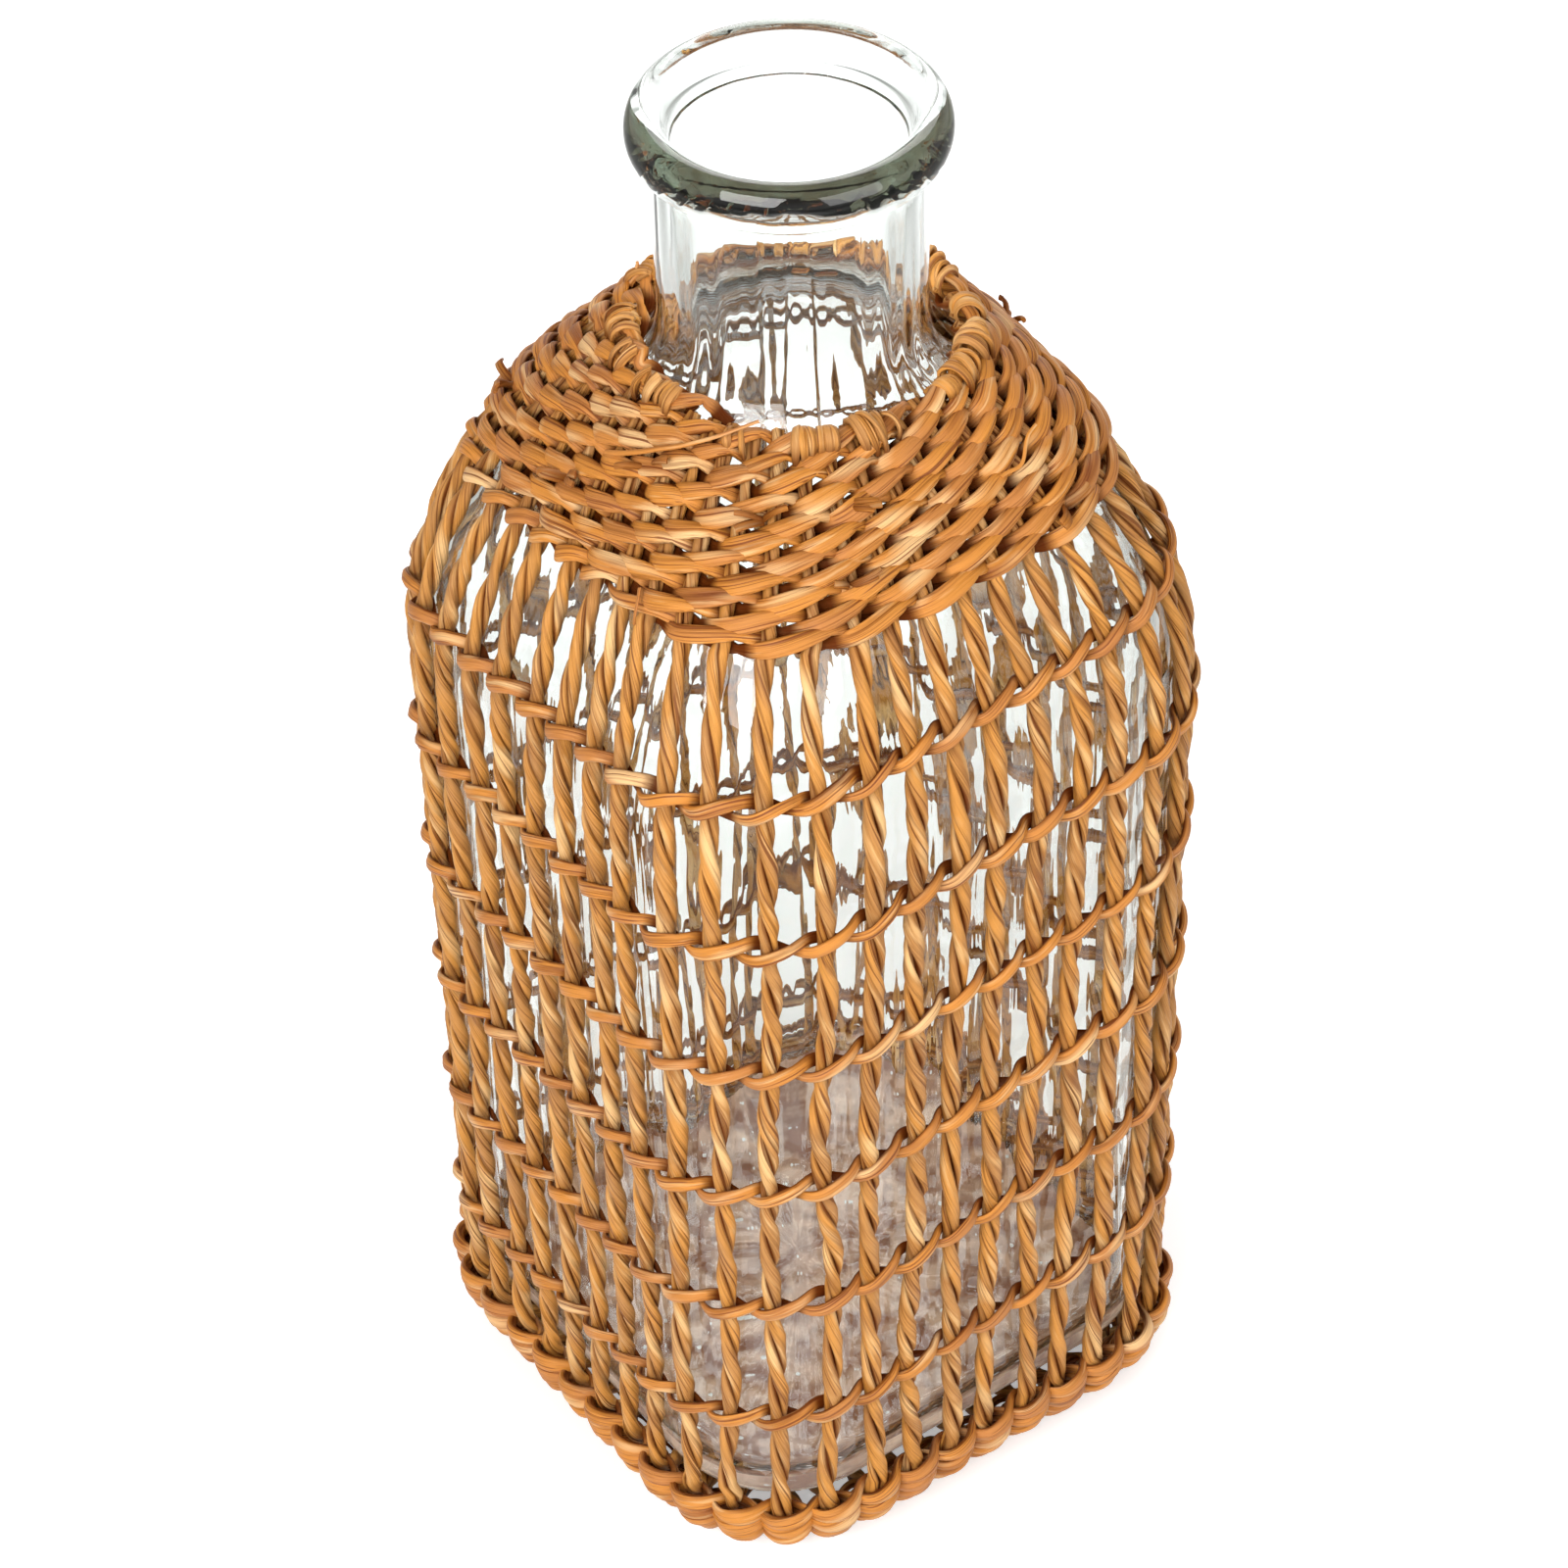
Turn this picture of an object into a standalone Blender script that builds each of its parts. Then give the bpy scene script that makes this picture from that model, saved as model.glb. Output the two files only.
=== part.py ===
import math

import bmesh
import bpy
import numpy as np
from mathutils import Vector

# A square glass bottle vase in a woven rush jacket. Units are metres, +Z is up, the vase stands on z = 0.
# The flat sides of the bottle face X and Y. A share of the girth is 0 at the middle of the +X side and
# runs counterclockwise, seen from above.

# Glass bottle
VASE_HEIGHT = 0.250
GLASS_WIDTH = 0.0966
GLASS_FOOT_DRAW_IN = 0.0013
GLASS_CORNER_RADIUS = 0.0240
GLASS_WALL = 0.0036
GLASS_FLOOR = 0.0070
GLASS_INNER_FILLET = 0.006
GLASS_FOOT_ROOM = 0.0009
SHOULDER_START = 0.152
SHOULDER_TOP = 0.2078
SHOULDER_TOP_RADIUS = 0.0218
SHOULDER_POWER = 1.85
SHOULDER_ROUND_POWER = 0.83
NECK_START = 0.2145
NECK_RADIUS = 0.0202
NECK_WALL = 0.0035
THROAT_POWER = 3
RIM_RADIUS = 0.0239
RIM_HEIGHT = 0.0076
MOUTH_RADIUS = 0.0180

# Stakes: twisted rush cords that run up one side, under the bottle and up the other side
STAKES_PER_SIDE = 11
STAKE_WIDTH = 0.0042
STAKE_THICKNESS = 0.0031
STAKE_TOP_THICKNESS = 0.0024
STAKE_TOP_WIDTH_SHARE = 0.70
STAKE_OUTER_SHARE = 0.55
STAKE_QUARTER_TWIST = 0.0068
STAKE_NARROW_SHARE = 0.64
STAKE_FLAT_SHARE = 0.80
STAKE_BEND_HEIGHT = 0.011
LANE_SHARE = 0.80
BASE_RECESS = 0.0008

# Border: level rows of rush round the foot
BORDER_ROWS = 5
BORDER_ROW_HEIGHT = 0.0026
BORDER_ROW_THICKNESS = 0.0018
BORDER_EDGE_SHARE = 0.3
BORDER_CORNER_ROOM = 0.0012
BORDER_ROOMY_ROWS = 2

# Weft: one pair of rush strands that climbs the sides as an open spiral and closes up into the collar
SPIRAL_START_SHARE = 0.125
WALL_TURNS = 6.66
WALL_WEFT_WIDTH = 0.0038
WALL_WEFT_THICKNESS = 0.0014
WALL_WEFT_FRONT_SHARE = 0.70
WALL_WEFT_BEND_ROOM = 0.0004
WALL_WEFT_DIP = 0.0012
WEFT_TAPER_TURNS = 0.25
COLLAR_START = 0.1865
COLLAR_TURNS = 11
COLLAR_WEFT_THICKNESS = 0.0019
WEFT_EDGE_SHARE = 0.25

# Fit between neighbours
CLEARANCE = 0.0003

# Roundness of the meshes, as counts
ARC_STEPS = 7
FLAT_STEPS = 3
FILLET_STEPS = 3
SHOULDER_STEPS = 7
THROAT_STEPS = 4
RIM_STEPS = 8
BEND_STEPS = 3
CORNER_STEPS = 5
TABLE_STEPS = 400
SMALL_SHARE = 0.0002
MEASURED_SHARE = 1 / 16
SHARPEST_SMOOTH_ANGLE = math.radians(40)

# Colours and finish
GLASS_COLOUR = (0.86, 0.92, 0.90, 1)
GLASS_ROUGHNESS = 0.05
STAKE_COLOUR = (0.56, 0.33, 0.12, 1)
STAKE_ROUGHNESS = 0.6
WEFT_COLOUR = (0.68, 0.40, 0.13, 1)
WEFT_ROUGHNESS = 0.55

# What follows from the sizes above
HALF_SIDE = GLASS_WIDTH / 2
HALF_FOOT = HALF_SIDE - GLASS_FOOT_DRAW_IN
HALF_FLAT = HALF_SIDE - GLASS_CORNER_RADIUS
QUARTER_GIRTH = 2 * HALF_FLAT + GLASS_CORNER_RADIUS * math.pi / 2
FLAT_SHARE = HALF_FLAT / QUARTER_GIRTH / 4
JOINT_SHARE = CLEARANCE / QUARTER_GIRTH / 4
STAKE_COUNT = 4 * STAKES_PER_SIDE
STAKE_STEP = 1 / STAKE_COUNT
FOOT_OFFSET = CLEARANCE + STAKE_THICKNESS / 2 - GLASS_FOOT_DRAW_IN
LOWER_LAYER = BASE_RECESS + STAKE_THICKNESS / 2
UPPER_LAYER = LOWER_LAYER + STAKE_THICKNESS + CLEARANCE
GLASS_BOTTOM = UPPER_LAYER + STAKE_THICKNESS / 2 + CLEARANCE
FOOT_TOP = UPPER_LAYER + STAKE_BEND_HEIGHT + GLASS_FOOT_ROOM
RIM_BOTTOM = VASE_HEIGHT - RIM_HEIGHT
BORDER_STEP = BORDER_ROW_HEIGHT + CLEARANCE
SPIRAL_START = BORDER_ROWS * BORDER_STEP + WALL_WEFT_WIDTH / 2


def remove_everything():
    for thing in list(bpy.data.objects):
        bpy.data.objects.remove(thing, do_unlink=True)


def make_material(name, colour, roughness, transmission):
    material = bpy.data.materials.new(name)
    material.use_nodes = True
    shader = material.node_tree.nodes["Principled BSDF"]
    shader.inputs["Base Color"].default_value = colour
    shader.inputs["Roughness"].default_value = roughness
    shader.inputs["Metallic"].default_value = 0
    shader.inputs["Transmission Weight"].default_value = transmission
    material.diffuse_color = colour
    return material


def loft(name, sections, is_ring, material):
    """Joins sections of equally many points into one closed body: a ring, or a bar with flat ends."""
    shape = bmesh.new()
    rows = [[shape.verts.new(point) for point in section] for section in sections]
    count = len(rows[0])
    pairs = list(zip(rows, rows[1:]))
    if is_ring:
        pairs.append((rows[-1], rows[0]))
    else:
        shape.faces.new(rows[0])
        shape.faces.new(rows[-1])
    for row, following in pairs:
        for k in range(count):
            after = (k + 1) % count
            shape.faces.new((row[k], row[after], following[after], following[k]))
    bmesh.ops.recalc_face_normals(shape, faces=shape.faces)
    mesh = bpy.data.meshes.new(name)
    shape.to_mesh(mesh)
    shape.free()
    mesh.shade_smooth()
    mesh.set_sharp_from_angle(angle=SHARPEST_SMOOTH_ANGLE)
    mesh.materials.append(material)
    thing = bpy.data.objects.new(name, mesh)
    bpy.context.collection.objects.link(thing)
    return thing


def shares_between(start, stop, steps):
    return [start + (stop - start) * k / steps for k in range(steps + 1)]


# The bottle's skin


def wall_outline(share):
    """Point and outward direction where the bottle's wall meets its shoulder, seen from above."""
    quarter = round(share * 4)
    along = (share * 4 - quarter) * QUARTER_GIRTH
    past_flat = abs(along) - HALF_FLAT
    side = math.copysign(1, along)
    if past_flat <= 0:
        point = Vector((HALF_SIDE, along, 0))
        outward = Vector((1, 0, 0))
    else:
        angle = past_flat / GLASS_CORNER_RADIUS
        outward = Vector((math.cos(angle), side * math.sin(angle), 0))
        point = Vector((HALF_FLAT, side * HALF_FLAT, 0)) + outward * GLASS_CORNER_RADIUS
    turn = quarter * math.pi / 2
    east = Vector((math.cos(turn), math.sin(turn), 0))
    north = Vector((-math.sin(turn), math.cos(turn), 0))
    return east * point.x + north * point.y, east * outward.x + north * outward.y


def skin(share, height):
    """Point on the outside of the glass between its foot and the underside of the rim."""
    point, outward = wall_outline(share)
    low = min(1, max(0, (SHOULDER_START - height) / (SHOULDER_START - FOOT_TOP)))
    point = point - outward * (GLASS_FOOT_DRAW_IN * low)
    reach = point.length
    if height <= SHOULDER_START:
        radius = reach
    elif height <= SHOULDER_TOP:
        rise = (height - SHOULDER_START) / (SHOULDER_TOP - SHOULDER_START)
        left = (1 - rise**SHOULDER_POWER) ** SHOULDER_ROUND_POWER
        radius = SHOULDER_TOP_RADIUS + (reach - SHOULDER_TOP_RADIUS) * left
    elif height <= NECK_START:
        left = 1 - (height - SHOULDER_TOP) / (NECK_START - SHOULDER_TOP)
        radius = NECK_RADIUS + (SHOULDER_TOP_RADIUS - NECK_RADIUS) * left**THROAT_POWER
    else:
        radius = NECK_RADIUS
    point = point * (radius / reach)
    point.z = height
    return point


def skin_around(share, height):
    """Level direction along the glass, counterclockwise."""
    return (skin(share + SMALL_SHARE, height) - skin(share - SMALL_SHARE, height)).normalized()


def skin_normal(share, height):
    rise = VASE_HEIGHT * SMALL_SHARE
    up = skin(share, height + rise) - skin(share, height - rise)
    return skin_around(share, height).cross(up).normalized()


def cover(share, height, offset):
    """Point that lies a given distance off the glass."""
    return skin(share, height) + skin_normal(share, height) * offset


def shoulder_heights():
    """Heights of the edges on the shoulder, closer together as it rounds over."""
    rise = SHOULDER_TOP - SHOULDER_START
    return [SHOULDER_START + rise * math.sin(t * math.pi / 2) for t in shares_between(0, 1, SHOULDER_STEPS)]


# Lengths up the glass, measured between a corner and the middle of a side


def measure_up_glass():
    heights = np.linspace(0, SHOULDER_TOP, TABLE_STEPS)
    places = np.array([skin(MEASURED_SHARE, height) for height in heights])
    steps = np.linalg.norm(np.diff(places, axis=0), axis=1)
    return heights, np.concatenate([[0], np.cumsum(steps)])


TABLE_HEIGHTS, TABLE_LENGTHS = measure_up_glass()


def length_at(height):
    return float(np.interp(height, TABLE_HEIGHTS, TABLE_LENGTHS))


def height_at(length):
    return float(np.interp(length, TABLE_LENGTHS, TABLE_HEIGHTS))


WEFT_START_LENGTH = length_at(SPIRAL_START)
COLLAR_START_LENGTH = length_at(COLLAR_START)
WALL_RISE = (COLLAR_START_LENGTH - WEFT_START_LENGTH) / WALL_TURNS
COLLAR_RISE = (length_at(SHOULDER_TOP) - COLLAR_START_LENGTH) / (COLLAR_TURNS + 1)
COLLAR_WEFT_WIDTH = COLLAR_RISE - CLEARANCE
STAKE_TOP = height_at(length_at(SHOULDER_TOP) - COLLAR_RISE / 2)


# Glass bottle: one thick, pressed piece with a rolled rim and a heavy floor


def glass_shares():
    """Shares of the girth where the glass has its edges: more of them round the corners."""
    shares = []
    for quarter in range(4):
        middle = quarter / 4
        corner_end = middle + 1 / 4 - FLAT_SHARE
        shares += shares_between(middle - FLAT_SHARE, middle + FLAT_SHARE, FLAT_STEPS)[:-1]
        shares += shares_between(middle + FLAT_SHARE, corner_end, ARC_STEPS)[:-1]
    return shares


def foot_ring(shares, inset, height):
    """Outline of the foot, drawn in evenly."""
    ring = []
    for share in shares:
        point, outward = wall_outline(share)
        point = point - outward * (GLASS_FOOT_DRAW_IN + inset)
        point.z = height
        ring.append(point)
    return ring


def round_ring(shares, radius, height):
    ring = []
    for share in shares:
        point, outward = wall_outline(share)
        point = point * (radius / point.length)
        point.z = height
        ring.append(point)
    return ring


def turn_distance():
    """How far from the middle the stakes leave their crossing under the bottle and begin to rise."""
    outermost, outward = wall_outline((STAKES_PER_SIDE // 2) * STAKE_STEP)
    return LANE_SHARE * (outermost + outward * FOOT_OFFSET).y + STAKE_WIDTH / 2 + 2 * CLEARANCE


def foot_inset(height):
    """How far the glass draws in under its wall, so that it clears the bends of the stakes."""
    reach = HALF_FOOT - turn_distance() + GLASS_FOOT_ROOM
    down = 1 - (height - GLASS_BOTTOM) / (FOOT_TOP - GLASS_BOTTOM)
    return reach * (1 - math.sqrt(1 - down * down))


def outside_rings(shares):
    rings = []
    for turn in shares_between(0, math.pi / 2, FILLET_STEPS):
        height = GLASS_BOTTOM + (FOOT_TOP - GLASS_BOTTOM) * (1 - math.cos(turn))
        rings.append(foot_ring(shares, foot_inset(height), height))
    for height in shoulder_heights():
        rings.append([skin(share, height) for share in shares])
    for height in shares_between(SHOULDER_TOP, NECK_START, THROAT_STEPS)[1:]:
        rings.append([skin(share, height) for share in shares])
    rings.append(round_ring(shares, NECK_RADIUS, RIM_BOTTOM))
    return rings


def rim_rings(shares):
    """From under the rolled rim, over its top and down inside the mouth."""
    half_width = (RIM_RADIUS - MOUTH_RADIUS) / 2
    half_height = RIM_HEIGHT / 2
    rings = []
    for turn in shares_between(-math.pi / 4, math.pi, RIM_STEPS):
        radius = MOUTH_RADIUS + half_width + half_width * math.cos(turn)
        rings.append(round_ring(shares, radius, RIM_BOTTOM + half_height + half_height * math.sin(turn)))
    return rings


def inside_rings(shares):
    rings = [round_ring(shares, NECK_RADIUS - NECK_WALL, RIM_BOTTOM)]
    for k, height in enumerate(shares_between(NECK_START, SHOULDER_TOP, THROAT_STEPS)):
        depth = NECK_WALL + (GLASS_WALL - NECK_WALL) * k / THROAT_STEPS
        rings.append([cover(share, height, -depth) for share in shares])
    for height in list(reversed(shoulder_heights()))[1:]:
        rings.append([cover(share, height, -GLASS_WALL) for share in shares])
    floor_top = GLASS_BOTTOM + GLASS_FLOOR
    for turn in shares_between(0, math.pi / 2, FILLET_STEPS):
        inset = GLASS_WALL + GLASS_INNER_FILLET * (1 - math.cos(turn))
        height = floor_top + GLASS_INNER_FILLET * (1 - math.sin(turn))
        rings.append(foot_ring(shares, inset, height))
    return rings


def make_glass(material):
    shares = glass_shares()
    rings = outside_rings(shares) + rim_rings(shares) + inside_rings(shares)
    return loft("glass_bottle", rings, False, material)


# Stakes: each is flat where it lies on the glass and narrows towards the collar's opening. Up to the collar it
# shows its two twisted plies, lying side by side and then one over the other every quarter of a twist


def shoulder_share(height):
    """0 on the wall and 1 at the stakes' top ends."""
    low = length_at(SHOULDER_START)
    return min(1, max(0, (length_at(height) - low) / (length_at(STAKE_TOP) - low)))


def stake_thickness(height):
    return STAKE_THICKNESS + (STAKE_TOP_THICKNESS - STAKE_THICKNESS) * shoulder_share(height)


def stake_width(height):
    top_girth = skin(0, STAKE_TOP).xy.length * 2 * math.pi
    top_width = top_girth * STAKE_STEP * STAKE_TOP_WIDTH_SHARE
    return STAKE_WIDTH + (top_width - STAKE_WIDTH) * shoulder_share(height)


def half_stake(share, lane_axis, layer):
    """Centres, width directions and sizes of a stake from its top end down to the flat of the base."""
    outline, outward = wall_outline(share)
    wall = outline + outward * FOOT_OFFSET
    facing = math.copysign(1, skin_around(share, 0).dot(lane_axis))
    rows = []
    collared = [height for height in shoulder_heights() if COLLAR_START < height < STAKE_TOP - CLEARANCE]
    for height in [STAKE_TOP] + collared[::-1]:
        thickness = stake_thickness(height)
        centre = cover(share, height, CLEARANCE + thickness / 2)
        rows.append((centre, skin_around(share, height) * facing, stake_width(height), thickness))
    bend_length = length_at(layer + STAKE_BEND_HEIGHT)
    quarters = round((COLLAR_START_LENGTH - bend_length) / STAKE_QUARTER_TWIST)
    for k, length in enumerate(shares_between(COLLAR_START_LENGTH, bend_length, quarters)[:-1]):
        height = height_at(length)
        width = stake_width(height)
        thickness = stake_thickness(height)
        centre = cover(share, height, CLEARANCE + thickness / 2)
        if k % 2:
            width *= STAKE_NARROW_SHARE
        else:
            thickness *= STAKE_FLAT_SHARE
        rows.append((centre, skin_around(share, height) * facing, width, thickness))
    run = Vector((lane_axis.y, lane_axis.x, 0))
    run = run * math.copysign(1, wall.dot(run))
    turn_at = turn_distance()
    reach = wall.dot(run) - turn_at
    lane = wall.dot(lane_axis)
    wall_wide = skin_around(share, 0) * facing
    for turn in shares_between(math.pi / 2, 0, BEND_STEPS):
        rise = math.sin(turn)
        sideways = LANE_SHARE + (1 - LANE_SHARE) * rise**2
        centre = run * (turn_at + reach * rise) + lane_axis * (lane * sideways)
        centre.z = layer + STAKE_BEND_HEIGHT * (1 - math.cos(turn))
        wide = lane_axis.lerp(wall_wide, rise**2).normalized()
        rows.append((centre, wide, STAKE_WIDTH, STAKE_THICKNESS))
    return rows


def course_at(centres, k):
    """Direction of a run of points at one of them, halfway between its two neighbouring stretches."""
    into = centres[k] - centres[max(0, k - 1)]
    out_of = centres[min(len(centres) - 1, k + 1)] - centres[k]
    return (into.normalized() + out_of.normalized()).normalized()


def four_sided(centre, wide, thick, inner_width, outer_width, thickness):
    """A flat strand's section, with its inner side towards the glass."""
    inner = wide * (inner_width / 2)
    outer = wide * (outer_width / 2)
    out = thick * (thickness / 2)
    return [centre - inner - out, centre + inner - out, centre + outer + out, centre - outer + out]


def make_stake(name, first_share, second_share, lane_axis, layer, material):
    rows = half_stake(first_share, lane_axis, layer) + half_stake(second_share, lane_axis, layer)[::-1]
    centres = [row[0] for row in rows]
    sections = []
    for k, (centre, wide, width, thickness) in enumerate(rows):
        course = course_at(centres, k)
        wide = (wide - course * wide.dot(course)).normalized()
        out = outward_of(course.cross(wide), centre)
        sections.append(four_sided(centre, wide, out, width, width * STAKE_OUTER_SHARE, thickness))
    return loft(name, sections, False, material)


def outward_of(direction, place):
    """The direction or its opposite, whichever points away from the middle of the bottle."""
    middle = Vector((0, 0, SHOULDER_START / 2))
    return direction * math.copysign(1, direction.dot(place - middle))


def make_stakes(material):
    """Half of the stakes cross from side to side, and half run over them from front to back."""
    across = Vector((0, 1, 0))
    front_to_back = Vector((1, 0, 0))
    reach = STAKES_PER_SIDE // 2
    for k in range(-reach, reach + 1):
        share = k * STAKE_STEP
        number = f"{k + reach + 1:02d}"
        make_stake(f"stake_across_{number}", share, 1 / 2 - share, across, LOWER_LAYER, material)
        make_stake(f"stake_front_to_back_{number}", 1 / 4 - share, 3 / 4 + share, front_to_back,
                   UPPER_LAYER, material)


# Border: closed rows stacked on the floor outside the bends of the stakes


def stakes_outside(height):
    """Half width over the lower layer of stakes at a height, on the middle of a side."""
    turn_at = turn_distance()
    reach = HALF_FOOT + CLEARANCE + STAKE_THICKNESS - turn_at
    rise = STAKE_BEND_HEIGHT + STAKE_THICKNESS / 2
    down = max(0, (LOWER_LAYER + STAKE_BEND_HEIGHT - height) / rise)
    return turn_at + reach * math.sqrt(1 - down * down)


def corner_shares():
    """Shares of the girth round the corners, each from the end of one flat to the start of the next."""
    shares = []
    for quarter in range(4):
        shares += shares_between(quarter / 4 + FLAT_SHARE, (quarter + 1) / 4 - FLAT_SHARE, CORNER_STEPS)
    return shares


def make_border(material):
    height = Vector((0, 0, BORDER_ROW_HEIGHT))
    rounding = height * BORDER_EDGE_SHARE
    for row in range(BORDER_ROWS):
        bottom = row * BORDER_STEP
        room = CLEARANCE + BORDER_CORNER_ROOM * max(0, 1 - row / BORDER_ROOMY_ROWS)
        inner = stakes_outside(bottom + BORDER_ROW_HEIGHT) + room - HALF_SIDE
        sections = []
        for share in corner_shares():
            outline, outward = wall_outline(share)
            low = outline + outward * inner + Vector((0, 0, bottom))
            lip = outward * (BORDER_ROW_THICKNESS * (1 - BORDER_EDGE_SHARE))
            nose = outward * BORDER_ROW_THICKNESS
            under = [low, low + lip, low + nose + rounding]
            over = [low + height + nose - rounding, low + height + lip, low + height]
            sections.append(under + over)
        loft(f"border_row_{row + 1}", sections, True, material)


# Weft: each node is one turn of the pair, from one splice to the next


def over_stake(turns):
    """1 where the weft lies over the middle of a stake, and 0 midway between two."""
    return (1 + math.cos(2 * math.pi * STAKE_COUNT * (SPIRAL_START_SHARE + turns))) / 2


def wall_length(turns):
    return WEFT_START_LENGTH + WALL_RISE * turns


def wall_width(turns):
    """One strand shows over a stake, and between two stakes both strands, one above the other."""
    near_end = max(0, 1 - (WALL_TURNS - turns) / WEFT_TAPER_TURNS)
    width = WALL_WEFT_WIDTH + (COLLAR_WEFT_WIDTH - WALL_WEFT_WIDTH) * near_end
    return width * (1 + (WALL_WEFT_FRONT_SHARE - 1) * over_stake(turns))


def wall_room(turns):
    """How far the open weft lies above the stakes. It dips in between them, less where they stand closer."""
    dip = WALL_WEFT_DIP * (1 - shoulder_share(height_at(wall_length(turns))))
    return CLEARANCE + WALL_WEFT_BEND_ROOM - dip * (1 - over_stake(turns))


def collar_length(turns):
    return COLLAR_START_LENGTH + COLLAR_RISE * (turns - WALL_TURNS)


def collar_width(turns):
    return COLLAR_WEFT_WIDTH


def collar_room(turns):
    return CLEARANCE


def turn_places(start, stop, marks):
    """Places along a stretch, in turns from the spiral's start: its two ends and each mark between them."""
    inside = []
    for whole in range(math.floor(start), math.ceil(stop) + 1):
        for mark in marks:
            place = whole + mark - SPIRAL_START_SHARE
            if start + JOINT_SHARE < place < stop - JOINT_SHARE:
                inside.append(place)
    return [start] + sorted(inside) + [stop]


def make_turn(name, places, length_of, width_of, room_of, thickness, material):
    centres = []
    normals = []
    for turns in places:
        share = SPIRAL_START_SHARE + turns
        height = height_at(length_of(turns))
        lift = CLEARANCE + stake_thickness(height) + room_of(turns)
        centres.append(cover(share, height, lift + thickness / 2))
        normals.append(skin_normal(share, height))
    sections = []
    for k, turns in enumerate(places):
        course = course_at(centres, k)
        wide = normals[k].cross(course).normalized()
        outer_width = width_of(turns) - 2 * thickness * WEFT_EDGE_SHARE
        sections.append(four_sided(centres[k], wide, course.cross(wide), width_of(turns), outer_width, thickness))
    return loft(name, sections, False, material)


def make_wall_weft(material):
    """The open turns up the sides, which bend over every stake and dip in after it."""
    over_and_between = [k * STAKE_STEP / 2 for k in range(2 * STAKE_COUNT)]
    for turn in range(math.ceil(WALL_TURNS)):
        stop = min(turn + 1, WALL_TURNS)
        places = turn_places(turn + JOINT_SHARE, stop - JOINT_SHARE, over_and_between)
        make_turn(f"wall_weft_turn_{turn + 1}", places, wall_length, wall_width, wall_room,
                  WALL_WEFT_THICKNESS, material)


def make_collar_weft(material):
    every_stake = [k * STAKE_STEP for k in range(STAKE_COUNT)]
    for turn in range(COLLAR_TURNS):
        start = WALL_TURNS + turn
        places = turn_places(start + JOINT_SHARE, start + 1 - JOINT_SHARE, every_stake)
        make_turn(f"collar_weft_turn_{turn + 1:02d}", places, collar_length, collar_width, collar_room,
                  COLLAR_WEFT_THICKNESS, material)


def make_vase():
    remove_everything()
    glass = make_material("clear_glass", GLASS_COLOUR, GLASS_ROUGHNESS, 1)
    stake_rush = make_material("twisted_rush_stake", STAKE_COLOUR, STAKE_ROUGHNESS, 0)
    weft_rush = make_material("golden_rush_weft", WEFT_COLOUR, WEFT_ROUGHNESS, 0)
    make_glass(glass)
    make_stakes(stake_rush)
    make_border(weft_rush)
    make_wall_weft(weft_rush)
    make_collar_weft(weft_rush)


make_vase()
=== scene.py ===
import math

import bpy
import numpy as np
from mathutils import Matrix, Vector


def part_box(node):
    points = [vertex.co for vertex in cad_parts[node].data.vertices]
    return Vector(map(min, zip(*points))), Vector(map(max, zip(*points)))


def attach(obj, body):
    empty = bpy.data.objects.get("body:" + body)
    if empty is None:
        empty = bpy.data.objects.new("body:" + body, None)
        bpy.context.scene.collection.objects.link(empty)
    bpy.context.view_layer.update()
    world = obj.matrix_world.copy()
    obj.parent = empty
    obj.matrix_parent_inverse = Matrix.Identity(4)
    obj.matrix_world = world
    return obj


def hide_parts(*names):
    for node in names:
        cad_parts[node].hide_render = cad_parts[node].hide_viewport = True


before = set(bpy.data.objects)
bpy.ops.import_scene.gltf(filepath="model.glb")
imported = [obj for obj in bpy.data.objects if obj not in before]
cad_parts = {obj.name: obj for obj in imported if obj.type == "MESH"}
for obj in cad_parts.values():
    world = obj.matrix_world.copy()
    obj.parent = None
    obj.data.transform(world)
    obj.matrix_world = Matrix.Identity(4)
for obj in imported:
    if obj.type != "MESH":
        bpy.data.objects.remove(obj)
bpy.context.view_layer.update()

# The bottle is one piece of pressed clear glass. Its body is a rounded square that leans in a little at the
# foot, the shoulder is domed, and the neck ends in a thick rolled rim. The walls rippled as they cooled.

bottle_low, bottle_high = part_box("glass_bottle")
GLASS_BOTTOM = bottle_low.z
GLASS_TOP = bottle_high.z
HALF_SIDE = bottle_high.x
CORNER_RADIUS = 0.0240
FOOT_DRAW_IN = 0.0013
FOOT_TOP = 0.01765
FOOT_REACH = 0.0135
GLASS_WALL = 0.0036
GLASS_FLOOR = 0.0070
INNER_FILLET = 0.006
PUSH_UP = 0.0012
PUSH_UP_POWER = 4
SHOULDER_START = 0.152
SHOULDER_TOP = 0.2078
SHOULDER_TOP_RADIUS = 0.0218
SHOULDER_POWER = 1.85
SHOULDER_ROUND_POWER = 0.83
NECK_START = 0.2145
NECK_RADIUS = 0.0202
NECK_WALL = 0.0035
THROAT_POWER = 3
THROAT_SMOOTHINGS = 6
BEAD_HEIGHT = 0.0016
BEAD_DEPTH = 0.00035
RIM_RADIUS = 0.0239
RIM_HEIGHT = 0.0080
RIM_FIRST_TURN = -0.32 * math.pi
RIM_LAST_TURN = 0.85 * math.pi
MOUTH_RADIUS = 0.0180
RING_STEP = 0.0016
POINTS_AROUND = 256
FOOT_STEPS = 10
BEAD_STEPS = 7
RIM_STEPS = 26
FLARE_STEPS = 6
FLAT_RING_SHARES = (0.85, 0.6, 0.3, 0.05)
SMALL_SHARE = 0.0002
SMALL_RISE = 0.00005
SMALLEST = 1e-12
MEASURED_SHARE = 1 / 16
MEASURED_STEPS = 1200
OUTER_RIPPLES = (3, 5, 9, 14)
OUTER_RIPPLE_HEIGHT = 0.12
OUTER_RIPPLE_DEPTH = 0.00003
INNER_RIPPLES = (3, 5, 8, 12, 17, 23, 30)
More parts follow.
